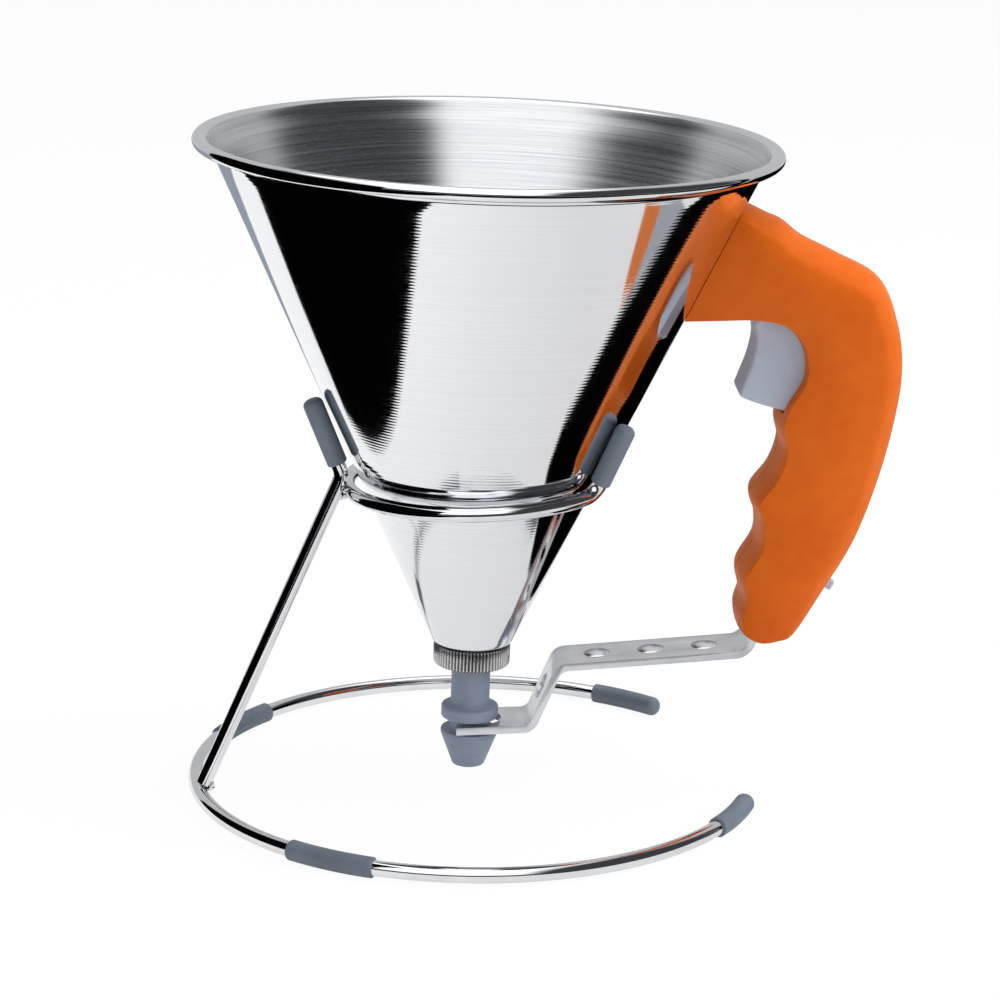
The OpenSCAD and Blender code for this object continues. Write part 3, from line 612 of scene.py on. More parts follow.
def bend(start, way, to, r):
    """Points of an arc that leaves start along way and ends along to."""
    turn = math.acos(way.dot(to))
    normal = (to - way * math.cos(turn)) / math.sin(turn)
    centre = start + r * normal
    steps = 14
    turns = [turn * i / steps for i in range(steps + 1)]
    return [centre - r * math.cos(t) * normal + r * math.sin(t) * way for t in turns]


def straight(a, b, count=3):
    return [a + (b - a) * i / count for i in range(count + 1)]


def joined(*paths):
    """The paths as one, without the points that they share."""
    out = []
    for path in paths:
        for p in path:
            if not out or (p - out[-1]).length > 0.02:
                out.append(p)
    return out


def cradle_path():
    """Middle line of the cradle's wire with its two prongs, and the ring's hindmost point."""
    rise = tand(CRADLE_TILT) * cosd(PRONG_ANGLE)
    lean = tand(FREE_LEAN)
    corner_z = (CRADLE_Z + rise * (FREE_TOP_R - FREE_TOP_Z * lean)) / (1 - rise * lean)
    corner_r = FREE_TOP_R - (FREE_TOP_Z - corner_z) * lean
    flat = (corner_r * cosd(PRONG_ANGLE) / cosd(CRADLE_TILT) - CRADLE_SHIFT,
            corner_r * sind(PRONG_ANGLE))
    reach = math.hypot(*flat)
    ring_r = math.sqrt(reach ** 2 - PRONG_BEND ** 2)
    end = math.degrees(math.atan2(flat[1], flat[0]) + math.atan2(PRONG_BEND, ring_r))

    def on_ring(azimuth):
        x = CRADLE_SHIFT + ring_r * cosd(azimuth)
        return Vector((x * cosd(CRADLE_TILT), ring_r * sind(azimuth),
                       CRADLE_Z + x * sind(CRADLE_TILT)))

    def prong(side):
        start = on_ring(side * end)
        corner = polar(corner_r, side * PRONG_ANGLE, corner_z)
        way = (corner - start).normalized()
        to = prong_way(side * PRONG_ANGLE, FREE_LEAN)
        r = PRONG_BEND / math.tan(math.acos(way.dot(to)) / 2)
        curve = bend(start, way, to, r)
        top = polar(FREE_TOP_R, side * PRONG_ANGLE, FREE_TOP_Z)
        return joined(curve, straight(curve[-1], top))

    steps = 150
    ring = [on_ring(end + (360 - 2 * end) * i / steps) for i in range(steps + 1)]
    return joined(list(reversed(prong(1))), ring, prong(-1)), on_ring(180)


# The upright stands on the base ring's wire, a little inside its middle line
UPRIGHT_FOOT = Vector((-(BASE_R - 1.1), 0, BASE_Z + WIRE_R + 0.2))
LEFT_END = polar(LEFT_TOP_R, 180, LEFT_TOP_Z)
LEFT_WAY = prong_way(180, LEFT_LEAN)
KNEE = LEFT_END - LEFT_WAY * (LEFT_RISE - KNEE_RISE) / cosd(LEFT_LEAN)


def upright_path():
    """Middle line of the upright, which bends at the knee and ends as the left prong."""
    rise = (KNEE - UPRIGHT_FOOT).normalized()
    turn = math.acos(rise.dot(LEFT_WAY))
    start = KNEE - rise * KNEE_R * math.tan(turn / 2)
    curve = bend(start, rise, LEFT_WAY, KNEE_R)
    return joined(straight(UPRIGHT_FOOT, start, 6), curve, straight(curve[-1], LEFT_END))


def wire(name, path, node):
    piece = tube(name, path, [WIRE_R] * len(path), 40, TURN)
    finish(piece, "stand", "chrome", "chromed_wire", node)


def lump(name, at, size, seed):
    """A blob of weld metal: a ball drawn out and roughened."""
    work = bmesh.new()
    bmesh.ops.create_icosphere(work, subdivisions=4, radius=1.0)
    for v in work.verts:
        swell = 0.22 * noise.noise(v.co * 1.7 + Vector((seed, 0, 0)))
        ripple = 0.07 * noise.noise(v.co * 5.0 + Vector((0, seed, 0)))
        v.co *= 1 + swell + ripple
        v.co = Vector((v.co.x * size[0], v.co.y * size[1], v.co.z * size[2])) + at
        v.co *= MM
    mesh = bpy.data.meshes.new(name)
    work.to_mesh(mesh)
    work.free()
    shade(mesh, 60)
    return placed(name, mesh, TURN)


def sleeve_profile(length):
    """(radius, place) along a prong's sleeve, from inside its open end round to its tip."""
    inner = WIRE_R + 0.03
    lip = 0.35
    corner = 1.5
    return [(inner, -length + 3), (inner, -length + lip),
            *arc(SLEEVE_R - lip, -length + lip, lip, -90, 0, 4),
            *arc(SLEEVE_R - corner, SLEEVE_OVER - corner, corner, 0, 90, 8),
            (0.6, SLEEVE_OVER + 0.06), (0.0, SLEEVE_OVER + 0.08)]


def prong_sleeve(name, top, way, length, node):
    """A sleeve over a prong's end at top, along the prong's way."""
    turned = Vector((0, 0, 1)).rotation_difference(way).to_matrix().to_4x4()
    place = TURN @ Matrix.Translation(top * MM) @ turned
    piece = lathe(name, sleeve_profile(length), 48, place, False, 40)
    finish(piece, "stand", "sleeve", "grey_sleeve", node)


DOME_END = 9


def ring_sleeve(name, first, last, domed, node):
    """A sleeve on the base ring between two azimuths, rounded at its first end if domed."""
    lip = 0.4
    inner = WIRE_R + 0.02
    run = (last - first) / DEG_PER_MM
    size = abs(run)
    sense = 1 if run > 0 else -1
    if domed:
        length, fullness = SLEEVE_R * 0.82, 0.8
        turns = [math.pi / 2 * k / DOME_END for k in range(DOME_END + 1)]
        places = [(-length * math.cos(turn), SLEEVE_R * math.sin(turn) ** fullness)
                  for turn in turns]
    else:
        places = [(0.0, inner), *arc(lip, SLEEVE_R - lip, lip, 180, 90, 4)]
    middle = 24
    places += [(lip + (size - 2 * lip) * k / middle, SLEEVE_R) for k in range(1, middle)]
    places += [*arc(size - lip, SLEEVE_R - lip, lip, 90, 0, 4), (size, inner)]
    path = [polar(BASE_R, first + sense * s * DEG_PER_MM, BASE_Z) for s, r in places]
    if domed:
        near = polar(BASE_R, first + sense * 0.5, BASE_Z)
        way = (near - polar(BASE_R, first, BASE_Z)).normalized()
        start = path[DOME_END]
        path[:DOME_END + 1] = [start + way * s for s, r in places[:DOME_END + 1]]
    piece = tube(name, path, [max(r, 0.01) for s, r in places], 40, TURN, 0.0, 40)
    finish(piece, "stand", "sleeve", "grey_sleeve", node)


def build_stand():
    """Wires, welds, sleeves and caps."""
    wire("base_wire", base_path(), "base_ring")
    wire("upright_wire", upright_path(), "upright")
    ring, back = cradle_path()
    wire("cradle_wire", ring, "cradle_ring")
    along = (back.z - KNEE.z) / (UPRIGHT_FOOT.z - KNEE.z)
    beside = KNEE + along * (UPRIGHT_FOOT - KNEE)
    middle = (back + beside) / 2
    beads = lump("weld_metal", middle, (1.7, 1.9, 2.3), 3.0)
    more = [lump("w1", middle + Vector((0.3, 1.5, -1.1)), (0.8, 0.7, 0.8), 8.0),
            lump("w2", middle + Vector((0.2, -1.6, 0.9)), (0.8, 0.8, 0.7), 5.0),
            lump("w3", Vector((-(BASE_R - WIRE_R * 1.3), 0, BASE_Z + WIRE_R * 0.8)),
                 (1.5, 2.2, 1.5), 6.0),
            lump("w4", Vector((-(BASE_R - 1.2), 1.9, BASE_Z + WIRE_R)), (0.8, 0.8, 0.6), 9.0)]
    combine(beads, more, "UNION", 60)
    finish(beads, "stand", "chrome", "chromed_wire", "weld_beads")
    prong_sleeve("upright_sleeve", LEFT_END, LEFT_WAY, LEFT_SLEEVE_LEN, "prong_sleeve_left")
    for side, name, azimuth in ((-1, "front", FRONT_SLEEVE), (1, "back", BACK_SLEEVE)):
        top = polar(FREE_TOP_R, side * PRONG_ANGLE, FREE_TOP_Z)
        prong_sleeve(f"prong_grip_{name}", top, prong_way(side * PRONG_ANGLE, FREE_LEAN),
                     FREE_SLEEVE_LEN, f"prong_sleeve_{name}")
        cap = side * WIRE_END
        ring_sleeve(f"cap_{name}", cap, cap + side * END_CAP_LEN * DEG_PER_MM, True,
                    f"end_cap_{name}")
        half = FOOT_SLEEVE_LEN / 2 * DEG_PER_MM
        ring_sleeve(f"foot_{name}", azimuth - half, azimuth + half, False,
                    f"foot_sleeve_{name}")


# -------- funnel
def cone_profile():
    """(outside, inside) profiles of the cone, both from the foot up to the bead."""
    lip = BEAD_X - LIP_FLARE
    rows = range(42, 168, 3)
    foot = FOOT_Z - CONE_WALL * 1.35
    outside = [(FOOT_BORE, foot), (FOOT_R - 1.2, foot),
               (FOOT_R - 0.45, FOOT_Z - CONE_WALL * 0.9), (FOOT_R - 0.1, FOOT_Z - 0.25),
               (FOOT_R + 0.1, FOOT_Z + 0.25)]
    outside += [(cone_r(z), z) for z in rows]
    outside += [(cone_r(FLARE_Z - LINE_W), FLARE_Z - LINE_W), (cone_r(FLARE_Z), FLARE_Z + LINE_W),
                (lip - 0.25, RIM_Z - 1.9), (lip + 0.25, RIM_Z - 1.3), (lip + 0.45, RIM_Z - 1.0)]
    bead = arc(BEAD_X, RIM_Z, BEAD_R, -125, 115, 26)
    wall = CONE_WALL / CONE_COS
    inside = [(lip + 0.55, RIM_Z + 1.15), (lip + 0.1, RIM_Z + 0.75), (lip - 0.5, RIM_Z - 0.4),
              (lip - 0.95, RIM_Z - 1.7), (cone_r(FLARE_Z) - wall, FLARE_Z)]
    inside += [(cone_r(z) - wall, z) for z in rows[:0:-1]]
    inside += [(cone_r(FOOT_Z) - wall, FOOT_Z), (FOOT_R - 2, FOOT_Z - CONE_WALL * 0.35),
               (FOOT_BORE, FOOT_Z - CONE_WALL * 0.35)]
    return outside + bead, inside


def build_cone():
    """The cone: spun outside, satin inside, with painted shade under the bead and along the spun
    line.
    """
    outside, inside = cone_profile()
    piece = lathe("funnel_cone", outside + inside, 360, LEAN, True, 50)
    finish(piece, "funnel", "spun", "funnel_steel", "hopper_cone")
    piece.data.materials.append(MATERIALS["satin"])
    piece.data.materials.append(MATERIALS["seam"])
    satin, seam = 1, 2
    for face in piece.data.polygons:
        c = face.center
        high = c.z / MM
        faces_in = c.x * face.normal.x + c.y * face.normal.y < 0
        # Painted shade: faces just under the bead and along the spun line take the dark material.
        under_bead = RIM_Z - BEAD_R < high < RIM_Z - BEAD_R * 0.86
        if faces_in and high < RIM_Z + 0.9:
            face.material_index = satin
        elif under_bead or abs(high - FLARE_Z) < LINE_W:
            face.material_index = seam


def build_nut():
    """The nut, with its knurl cut in full where a row's share is 1."""
    low, high, inner, bore = 32.9, 38.6, 8.18, 5.5
    knurls, per = 66, 8
    sides = knurls * per
    foot = [(1.0, 0, 0), (0.55, 0.05, 0), (0.3, 0.2, 0.4), (0.06, 0.4, 1), (0, 0.5, 1)]
    head = [(0, 0.5, 1), (0.06, 0.4, 1), (0.3, 0.2, 0.4), (0.55, 0.1, 0), (0.75, 0.6, 0)]
    rows = [(inner, low + 2.3, 0), (bore, low + 2.3, 0), (bore, low, 0)]
    rows += [(NUT_R - back, low + up, share) for back, up, share in foot]
    rows += [(NUT_R - back, high - down, share) for back, down, share in head]
    rows.append((inner, high - 0.7, 0))
    points = []
    for row_r, z, share in rows:
        for k in range(sides):
            t = (k % per) / per
            tooth = abs(2 * t - 1)
            tooth = tooth * tooth * (3 - 2 * tooth)
            rr = row_r - KNURL_DEPTH * share * (1 - tooth)
            turn = 2 * math.pi * k / sides
            points.append((rr * math.cos(turn), rr * math.sin(turn), z))
    piece = make("turned_nut", points, grid_faces(len(rows), sides, True), LEAN, 40)
    finish(piece, "nut", "nut", "nut_steel", "knurled_nut")


def rounded_profile(corners, closed=False, steps=4):
    """Corners (x, z, radius) turned into an outline with rounded corners."""
    out = []
    n = len(corners)
    for i, (x, z, r) in enumerate(corners):
        if r <= 0 or (not closed and i in (0, n - 1)):
            out.append((x, z))
            continue
        p = Vector((x, z))
        a = (Vector(corners[(i - 1) % n][:2]) - p).normalized()
        b = (Vector(corners[(i + 1) % n][:2]) - p).normalized()
        back = r / math.tan(a.angle(b) / 2)
        for k in range(steps + 1):
            t = k / steps
            q = p + a * back * (1 - t) ** 2 + b * back * t ** 2
            out.append((q.x, q.y))
    return out


def build_nozzle():
    """Tip, groove for the fork, collar, stem and valve head in one piece."""
    bore, tip, stem, collar, valve = 3.2, 4.25, 5.15, 7.6, 6.8
    corners = [(bore, 12.5, 0), (bore, 4.5, 0.3), (tip, 4.5, 0.45), (collar, 13.3, 0.3),
               (collar, 14.3, 0.35), (stem, 14.3, 0.15), (stem, 17.9, 0.15),
               (collar, 17.9, 0.35), (collar, 21.0, 0.5), (stem, 21.0, 0.4), (stem, 41.4, 0),
               (valve, 41.4, 0.3), (valve, 42.6, 0.4), (3.74, 44.6, 0.5), (0.0, 44.6, 0)]
    profile = [(0.0, 12.5)] + rounded_profile(corners)
    piece = lathe("nozzle_body", profile, 96, LEAN, False, 40)
    finish(piece, "nozzle", "nozzle", "nozzle_grey", "piston_nozzle")


# -------- handle
GRIP_STEPS = 8
SIDE_STEPS = 12
SIDE_TURN = 72
SIDE_HIGH = 12.4
DOME_STEPS = 8
DOME_SHARE = 0.92
DOME_POWER = 2.2
SEAM_GAP = 0.05
SEAM_ROUND = 0.3


def nearest(p, line):
    """The point of an open line that lies nearest to p."""
    found = []
    for (ax, az), (bx, bz) in zip(line, line[1:]):
        dx, dz = bx - ax, bz - az
        t = ((p[0] - ax) * dx + (p[1] - az) * dz) / (dx * dx + dz * dz)
        t = min(1.0, max(0.0, t))
        found.append((ax + t * dx, az + t * dz))
    return min(found, key=lambda q: math.hypot(p[0] - q[0], p[1] - q[1]))


def half_rings(side):
    """One half of the handle from its seam outwards: rounded edge, then domed side face."""
    outline = spline(GRIP, GRIP_STEPS)
    flat = [(p[0], p[1]) for p in outline]
    depth = [p[2] for p in outline]
    reach = 5
    found = [(SEAM_GAP * side, even_inset(flat, SEAM_ROUND, reach)),
             ((SEAM_GAP + SEAM_ROUND * 0.35) * side, even_inset(flat, SEAM_ROUND * 0.3, reach)),
             ((SEAM_GAP + SEAM_ROUND) * side, flat)]
    for k in range(1, SIDE_STEPS + 1):
        turn = rad(SIDE_TURN) * k / SIDE_STEPS
        y = SIDE_HIGH * math.sin(turn)
        edge = inset(flat, [d * (1 - math.cos(turn)) for d in depth], reach)
        found.append((y * side, edge))
    middle = [nearest(p, SPINE) for p in edge]
    for k in range(1, DOME_STEPS + 1):
        share = DOME_SHARE * k / DOME_STEPS
        ring = [(p[0] + (q[0] - p[0]) * share, p[1] + (q[1] - p[1]) * share)
                for p, q in zip(edge, middle)]
        rise = 1 - (1 - share) ** DOME_POWER
        found.append(((y + (HANDLE_T / 2 - y) * rise) * side, ring))
    return found


def across(name, outline, half):
    """An outline in the handle frame, half mm thick to each side of the seam."""
    return slab(name, [(-half, outline), (half, outline)], HEAD, LEAN)


def in_handle(x, z, y=0):
    """A point of the handle frame, y mm behind the seam."""
    return Vector((HEAD_X + x, y, HEAD_BOTTOM + z))


def pivot_rod(name, half, r, sides=48):
    """A rod along the pivot's axis, half mm long to each side of the seam."""
    return rod(name, in_handle(*PIVOT, -half), in_handle(*PIVOT, half), r, sides, LEAN)


def swung(points, degrees):
    """Points in the handle frame, turned about the pivot."""
    px, pz = PIVOT
    c, s = cosd(degrees), sind(degrees)
    return [(px + (x - px) * c - (z - pz) * s, pz + (x - px) * s + (z - pz) * c)
            for x, z in points]


def arm_x_at(rise):
    """X of the arm's middle in the handle frame, rise mm above the pivot."""
    first = PIVOT[0] - (HUB_R + 0.15 + STRIP_T / 2) / cosd(ARM_LEAN)
    return first + rise * tand(ARM_LEAN)


def by_arm(places):
    """Points that lie beside the arm, from (rise at which it is met, offset, rise)."""
    return [(arm_x_at(met) + beside, PIVOT[1] + rise) for met, beside, rise in places]


def trigger_room():
    """Cutters for the room in which trigger, stem and arm move."""
    half, hall_half, mouth_half = 7.4, 8.3, 8.2
    gap, hub_gap = 0.75, 0.3
    turns = 4
    around = even_inset(spline(PADDLE, 4), -gap)
    cutters = [across("swing", swung(around, -SQUEEZE * k / (turns - 1)), half)
               for k in range(turns)]
    top = [(19.2, -4), (41.2, -4), (41.2, 5), (19.2, 5)]
    high = 56
    swing = high * tand(SQUEEZE)
    hall = by_arm([(-3, -1.8, -3), (high, -1.8, high), (high, 6.6 + swing, high), (0, 8.4, 2),
                   (0, 8.6, -3)])
    mouth = by_arm([(-20, -9, -20), (-12, -5, -9.5), (-6, -2.6, -5), (8, -1.8, 8), (8, 2, 8),
                    (-6, 2.1, -6), (-20, 5, -20)])
    return cutters + [across("top", top, half), across("hall", hall, hall_half),
                      across("mouth", mouth, mouth_half),
                      pivot_rod("hub_room", hall_half, HUB_R + hub_gap)]


def slider_matrix():
    """Where the thumb nub stands, with its way of sliding along X and outwards along Z."""
    return (LEAN @ Matrix.Translation(in_handle(*SLIDER_AT) * MM)
            @ Matrix.Rotation(rad(180 - SLIDER_DIR), 4, "Y"))


def cone_cutter():
    """A cutter that leaves the head a small gap to the cone."""
    low, high = 60, 172
    gap = CONE_GAP / CONE_COS
    profile = [(0, low), (cone_r(low) + gap, low), (cone_r(high) + gap, high), (0, high)]
    return lathe("cone_room", profile, 360, LEAN)


def build_shell(side, name, node):
    """One half of the handle, with the nub's slot and, behind, the screws' recesses."""
    piece = slab(name, half_rings(side), HEAD, LEAN)
    x, y, deep, proud = 1.8, 1.65, 5.4, 4
    cutters = [cone_cutter(), *trigger_room(),
               block("slot", (-x - SLIDE_RUN, -y, -deep), (x, y, proud), slider_matrix())]
    if side > 0:
        for x, z in SCREWS:
            low = in_handle(x, z, HANDLE_T / 2 - SCREW_DEEP)
            high = in_handle(x, z, HANDLE_T)
            cutters.append(rod("recess", low, high, RECESS_R, 48, LEAN))
    combine(piece, cutters, "DIFFERENCE", 32)
    finish(piece, "funnel", "orange", "handle_orange", node)


def build_screws():
    """Pan heads with cross slots, sunk in the back shell."""
    low = HANDLE_T / 2 - SCREW_DEEP + 0.1
    shank_r, head_r = 1.4, 2.8
    cross = ((1.5, 0.3), (0.3, 1.5))
    profile = rounded_profile([(0, low - 2, 0), (shank_r, low - 2, 0), (shank_r, low, 0),
                               (head_r, low, 0.2), (head_r, low + 1.1, 0.5),
                               (1.6, low + 1.8, 0.9), (0, low + 1.95, 0)])
    work = bmesh.new()
    for x, z in SCREWS:
        place = (LEAN @ Matrix.Translation(in_handle(x, z) * MM)
                 @ Matrix.Rotation(rad(-90), 4, "X"))
        head = lathe("screw", profile, 48, place, False, 40)
        cuts = [block("cross", (-a, -b, low + 0.7), (a, b, low + 3), place) for a, b in cross]
        combine(head, cuts, "DIFFERENCE", 40)
        head.data.transform(place)
        work.from_mesh(head.data)
        bpy.data.objects.remove(head)
    mesh = bpy.data.meshes.new("shell_screws")
    work.to_mesh(mesh)
    work.free()
    shade(mesh, 40)
    finish(placed("shell_screws", mesh), "funnel", "pin", "pin_steel", "handle_screws")


def build_trigger():
    """The paddle, joined to the bar behind the lever's arm and to the hub on the pivot."""
    paddle = plate("trigger_grip", spline(PADDLE, 8), PADDLE_HALF, HEAD, LEAN,
                   edge=1.2, steps=6, reach=2)
    half, top, bore_r = 4.0, 57.8, 2.05
    fit, strip_room = 0.04, 16.0
    back = (STRIP_T / 2 + 0.05) / cosd(ARM_LEAN)
    deep = 4.4 / cosd(ARM_LEAN)
    outline = by_arm([(0, back, 0), (top, back, top), (top, back + deep, top),
                      (0, back + deep + 1.2, 0)])
    combine(paddle, [across("stem", outline, half), pivot_rod("hub", half, HUB_R)], "UNION", 35)
    combine(paddle, [pivot_rod("bore", 9, bore_r, 32), strip_slab("gap", fit, strip_room)],
            "DIFFERENCE", 35)
    finish(paddle, "lever", "trigger", "trigger_grey", "trigger")


# -------- lever
TIP_TOP = 14.3
FORK_TILT = 3.6
FORK_Z = TIP_TOP + STRIP_T / 2 + 0.65
FLAT_TILT = 5.9
SLOPE_LEN = 18.5
SLOPE_ANGLE = 68.5
FORK_REACH = 16.2
PRONG_REACH = 3.6
BEND_R = 3.6
HEEL_R = 5.0
HOLE_R = 3.5
HOLE_PITCH = 14.3
HOLE_START = 10.4
ARM_END = 31
SLOT_R = 5.5
SLOT_X = 3.0


def lever_corners():
    """The strip's corners: fork's end, foot and top of the slope, heel, and the arm's end."""
    fork = tand(FORK_TILT)
    flat = tand(FLAT_TILT)
    lean = tand(ARM_LEAN)
    pivot_z = HEAD_BOTTOM + PIVOT[1]
    end = (-PRONG_REACH, FORK_Z - PRONG_REACH * fork)
    a = (FORK_REACH, FORK_Z + FORK_REACH * fork)
    b = (a[0] + SLOPE_LEN * cosd(SLOPE_ANGLE), a[1] + SLOPE_LEN * sind(SLOPE_ANGLE))
    arm = HEAD_X + arm_x_at(0)
    heel = (arm - (pivot_z - b[1] + b[0] * flat) * lean) / (1 - flat * lean)
    c = (heel, b[1] + (heel - b[0]) * flat)
    top = HEAD_BOTTOM - ARM_END
    return end, a, b, c, (arm + (top - pivot_z) * lean, top)


def fold(a, b, c, r):
    """Points and headings round the bend of radius r at b."""
    way = math.atan2(b[1] - a[1], b[0] - a[0])
    turn = math.atan2(c[1] - b[1], c[0] - b[0]) - way
    reach = r * math.tan(abs(turn) / 2)
    sense = 1 if turn > 0 else -1
    x = b[0] - reach * math.cos(way)
    z = b[1] - reach * math.sin(way)
    steps = 10
    ways = [way + turn * k / steps for k in range(steps + 1)]
    return [(x + sense * r * (math.sin(t) - math.sin(way)),
             z - sense * r * (math.cos(t) - math.cos(way)), t) for t in ways]


def strip_slab(name, grow, width):
    """The bent strip, thicker by grow on each side, from points and headings of its middle."""
    end, a, b, c, d = lever_corners()
    line = [(*end, rad(FORK_TILT)), *fold(end, a, b, BEND_R), *fold(a, b, c, BEND_R),
            *fold(b, c, d, HEEL_R), (*d, rad(90 - ARM_LEAN))]
    off = STRIP_T / 2 + grow
    upper = [(x - off * math.sin(t), z + off * math.cos(t)) for x, z, t in line]
    lower = [(x + off * math.sin(t), z - off * math.cos(t)) for x, z, t in line]
    outline = upper + lower[::-1]
    return slab(name, [(-width / 2, outline), (width / 2, outline)], (0, 0), LEAN)


def hole(at, angle, reach, r):
    """A cutter square to the strip, reach mm from at along the angle."""
    half = 5
    x = at[0] + reach * cosd(angle)
    z = at[1] + reach * sind(angle)
    nx, nz = -sind(angle) * half, cosd(angle) * half
    return rod("hole", (x - nx, 0, z - nz), (x + nx, 0, z + nz), r, 72, LEAN)


def build_lever():
    """The bent strip with its fork's slot and four holes."""
    a, b = lever_corners()[1:3]
    piece = strip_slab("lever_strip", 0.0, STRIP_W)
    cuts = [hole(a, SLOPE_ANGLE, SLOPE_LEN * 0.54, HOLE_R)]
    cuts += [hole(b, FLAT_TILT, HOLE_START + i * HOLE_PITCH, HOLE_R) for i in range(3)]
    cuts.append(hole((0, FORK_Z), FORK_TILT, SLOT_X, SLOT_R))
    cuts.append(block("slot", (-20, -SLOT_R, FORK_Z - 6), (SLOT_X, SLOT_R, FORK_Z + 6), LEAN))
    combine(piece, cuts, "DIFFERENCE", 30)
    soften(piece, 0.28, 2, 40)
    finish(piece, "lever", "lever", "lever_steel", "lever_arm")


def build_slider():
    """A small thumb nub with rounded edges on a flange inside the shells."""
    matrix = slider_matrix()
    nub = [(-1.3, -4.2), (1.3, -4.2), (1.3, 2.1), (-1.3, 2.1)]
    outline = rounded_profile([(x, z, 0.5 if z > 0 else 0) for x, z in nub], True, 5)
    piece = plate("thumb_nub", outline, 1.4, (0, 0), matrix, edge=0.45, steps=4, reach=1)
    flange = block("flange", (-3.4, -4, -5.3), (3.4, 4, -3.9), matrix)
    combine(piece, [flange], "UNION", 35)
    finish(piece, "slider", "trigger", "trigger_grey", "flow_slider")


# -------- carried-over CAD nodes
def dress_nodes():
    """Gives the CAD nodes that no piece replaces their materials."""
    seals = ("stem_seal", "neck_gasket")
    steel = ("spout_ferrule", "trigger_rivets", "pivot_pin", "return_spring", "handle_bracket")
    for node in seals + steel:
        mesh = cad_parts[node].data
        mesh.materials.clear()
        mesh.materials.append(MATERIALS["seal" if node in seals else "pin"])


# -------- studio
FLAG_HIGH = 230
FAR = 2500


class Sky(Nodes):
    """An emptied node tree, for the floor, the cards and the room round them."""

    def __init__(self, tree):
        super().__init__(tree)
        tree.nodes.clear()

    def step(self, value, dark, light):
        """0 at dark and 1 at light, smooth between."""
        rising = 1.0 if dark < light else 0.0
        return self.spread(value, 1.0 - rising, rising, min(dark, light), max(dark, light),
                           "SMOOTHSTEP")

    def maths(self, operation, a, b):
        return self.add("ShaderNodeMath", {0: a, 1: b}, operation=operation).outputs[0]

    def mix(self, share, a, b):
        return self.add("ShaderNodeMixShader", {0: share, 1: a, 2: b}).outputs[0]

    def light(self, strength, colour=(1, 1, 1, 1)):
        node = self.add("ShaderNodeBackground", {"Color": colour, "Strength": strength})
        return node.outputs[0]


def floor_material():
    """Pale floor: lit by the lamps, with a share of even glow for each kind of ray.

    The glow that reflections show is duller towards the right: a painted falloff of light across
    the table.
    """
    mat = node_material("studio_floor")
    tree = Sky(mat.node_tree)
    place = tree.add("ShaderNodeTexCoord")
    split = tree.add("ShaderNodeSeparateXYZ", {0: place.outputs["Object"]})
    # Painted shade: the glow that reflections see fades from left to right across the table.
    duller = tree.spread(split.outputs[0], 0.97, 0.66, -0.12, 0.12)
    path = tree.add("ShaderNodeLightPath")
    surface = tree.add("ShaderNodeBsdfDiffuse", {"Color": (1, 1, 1, 1)}).outputs[0]
    for rays, share, strength in (("Glossy", 0.85, duller), ("Transmission", 0.9, 1.0),
                                  ("Camera", 0.945, 1.0)):
        glow = tree.add("ShaderNodeEmission", {"Strength": strength})
        part = tree.maths("MULTIPLY", path.outputs[f"Is {rays} Ray"], share)
        surface = tree.mix(part, surface, glow.outputs[0])
    tree.add("ShaderNodeOutputMaterial", {"Surface": surface})
    return mat


def sheet_of(name, points, faces, material):
    """A surface of the studio from points in mm."""
    mesh = bpy.data.meshes.new(name)
    mesh.from_pydata([tuple(c * MM for c in p) for p in points], [], faces)
    mesh.materials.append(material)
    sheet = placed(name, mesh)
    return sheet


def flat_sheet(name, corners, z, material):
    points = [(x, y, z) for x, y in corners]
    return sheet_of(name, points, [tuple(range(len(corners)))], material)


def standing_card(name, line, material):
    """A card that stands on the table along a line of points."""
    points = [(x, y, z) for z in (0.5, FLAG_HIGH) for x, y in line]
    n = len(line)
    return sheet_of(name, points, [(i, i + 1, n + i + 1, n + i) for i in range(n - 1)], material)


def card_material(name, colour):
    """An even card colour that doesn't depend on the lamps."""
    mat = node_material(name)
    tree = Sky(mat.node_tree)
    glow = tree.add("ShaderNodeEmission", {"Color": colour})
    tree.add("ShaderNodeOutputMaterial", {"Surface": glow.outputs[0]})
    return mat


def build_cards():
    """Cards on and round the table that only bright metal shows."""
    black = card_material("black_card", (0.0006, 0.0006, 0.0008, 1))
    blue = card_material("far_card", (0.3, 0.34, 0.4, 1))
    orange = card_material("orange_card", lin(206, 116, 62))
    grey = card_material("grey_card", lin(160, 162, 168))
    left = [(-90, -145), (-100, -91), (-110, -40), (-128, 30), (-150, 98), (-211, 142),
            (-290, 175), (-FAR, 260), (-FAR, -900), (-110, -900)]
    right = [(60, 70), (66, -6), (82, -42), (100, -48), (161, -34), (239, 14), (FAR, 1400),
             (200, 1400), (90, 220)]
    far_right = [(450, -900), (FAR, -900), (FAR, 1300), (450, 110)]
    ahead = [(-FAR, -FAR), (FAR, -FAR), (FAR, -320), (-FAR, -320)]
    behind = [(-FAR, 345), (-150, 365), (150, 365), (150, FAR), (-FAR, FAR)]
    patch = [(166, -31), (200, -38), (238, -68), (275, -25), (239, 13), (211, -2), (180, -25)]
    streak = [(163, -41), (167, -50), (185, -66), (222, -98), (238, -68), (200, -38), (171, -31)]
    cards = [flat_sheet(*sheet) for sheet in (
        ("card_left", left, 0.2, black), ("card_right", right, 0.25, black),
        ("card_far_right", far_right, 0.3, black), ("card_ahead", ahead, 0.35, black),
        ("card_behind", behind, 0.4, blue), ("card_grey", patch, 0.55, grey),
        ("card_orange", streak, 0.6, orange))]
    cards.append(standing_card("flag_left", left[:4], black))
    cards.append(standing_card("flag_right", [(241, 16), (420, 125)], black))
    for card in cards:
        card.visible_camera = False
        card.visible_diffuse = False
        card.visible_shadow = False
        card.visible_transmission = False


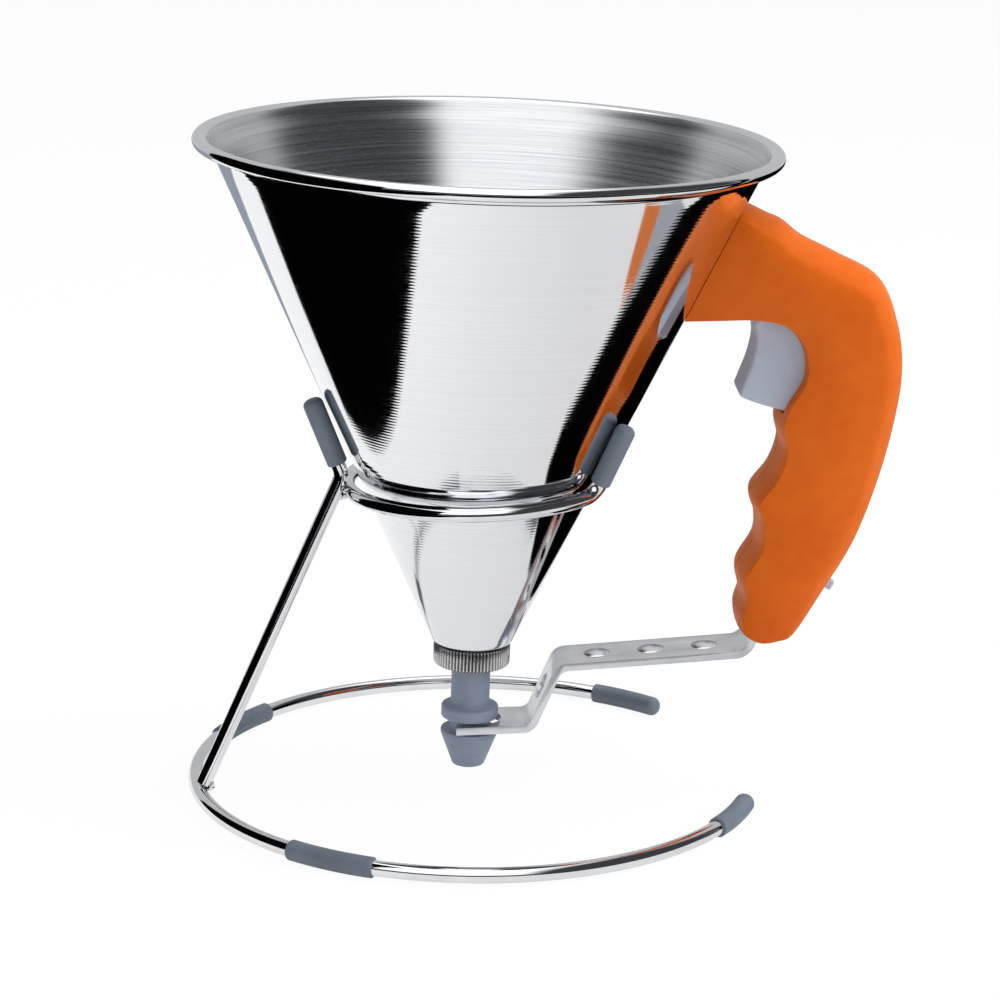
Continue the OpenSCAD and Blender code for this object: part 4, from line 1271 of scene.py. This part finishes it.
def lamp(name, place, target, size, power):
    """A lamp that bright metal doesn't show; places and sizes in metres, power in watts."""
    data = bpy.data.lights.new(name, "AREA")
    data.shape = "RECTANGLE"
    data.size, data.size_y = size
    data.energy = power
    way = Vector(target) - Vector(place)
    light = placed(name, data, Matrix.Translation(Vector(place))
                   @ way.to_track_quat("-Z", "Y").to_matrix().to_4x4())
    light.visible_glossy = False


def room_brightness(sky):
    """A dark room with a light box overhead, one behind the camera and a dim far wall."""
    place = sky.add("ShaderNodeTexCoord")
    x, y, z = sky.add("ShaderNodeSeparateXYZ", {0: place.outputs["Generated"]}).outputs
    wide = sky.maths("MULTIPLY", sky.step(x, -0.8, -0.5), sky.step(x, 0.44, 0.22))
    box = sky.maths("MULTIPLY", sky.step(y, -0.1, -0.4), sky.step(z, 0.22, 0.36))
    front = sky.maths("MULTIPLY", wide, box)
    over = sky.maths("MULTIPLY", sky.step(z, 0.7, 0.86), wide)
    wall = sky.maths("MULTIPLY", sky.step(y, 0.2, 0.5), 0.36)
    return sky.maths("MAXIMUM", sky.maths("MAXIMUM", front, over), wall)


def build_world():
    """Even light for matt surfaces, the room for reflections and white for the camera."""
    world = bpy.data.worlds.new("studio")
    SCENE.world = world
    world.use_nodes = True
    sky = Sky(world.node_tree)
    unlit = (0.035, 0.036, 0.04, 1)
    soft = sky.light(0.4)
    room = sky.light(1.4, sky.ramp(room_brightness(sky), unlit, (1, 1, 1, 1)))
    white = sky.light(1.0)
    path = sky.add("ShaderNodeLightPath")
    lit = sky.mix(path.outputs["Is Glossy Ray"], soft, room)
    seen = sky.mix(path.outputs["Is Camera Ray"], lit, white)
    sky.add("ShaderNodeOutputWorld", {"Surface": seen})


def build_studio():
    flat_sheet("floor", [(-4000, -4000), (4000, -4000), (4000, 6000), (-4000, 6000)], -0.2,
               floor_material())
    build_cards()
    build_world()
    lamp("top_box", (0.15, 0.1, 1.3), (0, 0, 0.08), (0.9, 0.9), 10)
    lamp("right_box", (1.0, -0.15, 0.75), (0.05, 0, 0.1), (0.7, 0.9), 12)
    lamp("left_box", (-0.8, -1.1, 0.9), (0, 0, 0.1), (0.7, 0.9), 4)


def build_camera():
    """The photograph's camera, fitted to the rim's and the base ring's ellipses."""
    data = bpy.data.cameras.new("camera")
    data.sensor_width = 36.0
    data.sensor_fit = "HORIZONTAL"
    data.lens = 108.28
    data.clip_start, data.clip_end = 0.05, 30
    right = Vector((0.99939, -0.03195, 0.01401))
    down = Vector((0.00522, -0.26024, -0.96553))
    ahead = Vector((0.03449, 0.96502, -0.25991))
    place = Vector((-21.22, -759.59, 282.14)) * MM
    rows = [(right[i], -down[i], -ahead[i], place[i]) for i in range(3)]
    SCENE.camera = placed("camera", data, Matrix((*rows, (0, 0, 0, 1))))


build_stand()
build_cone()
build_nut()
build_nozzle()
build_lever()
build_trigger()
build_shell(-1, "grip_front", "handle_shell_front")
build_shell(1, "grip_back", "handle_shell_back")
build_screws()
build_slider()
dress_nodes()
build_studio()
build_camera()

SCENE.view_settings.view_transform = "Standard"
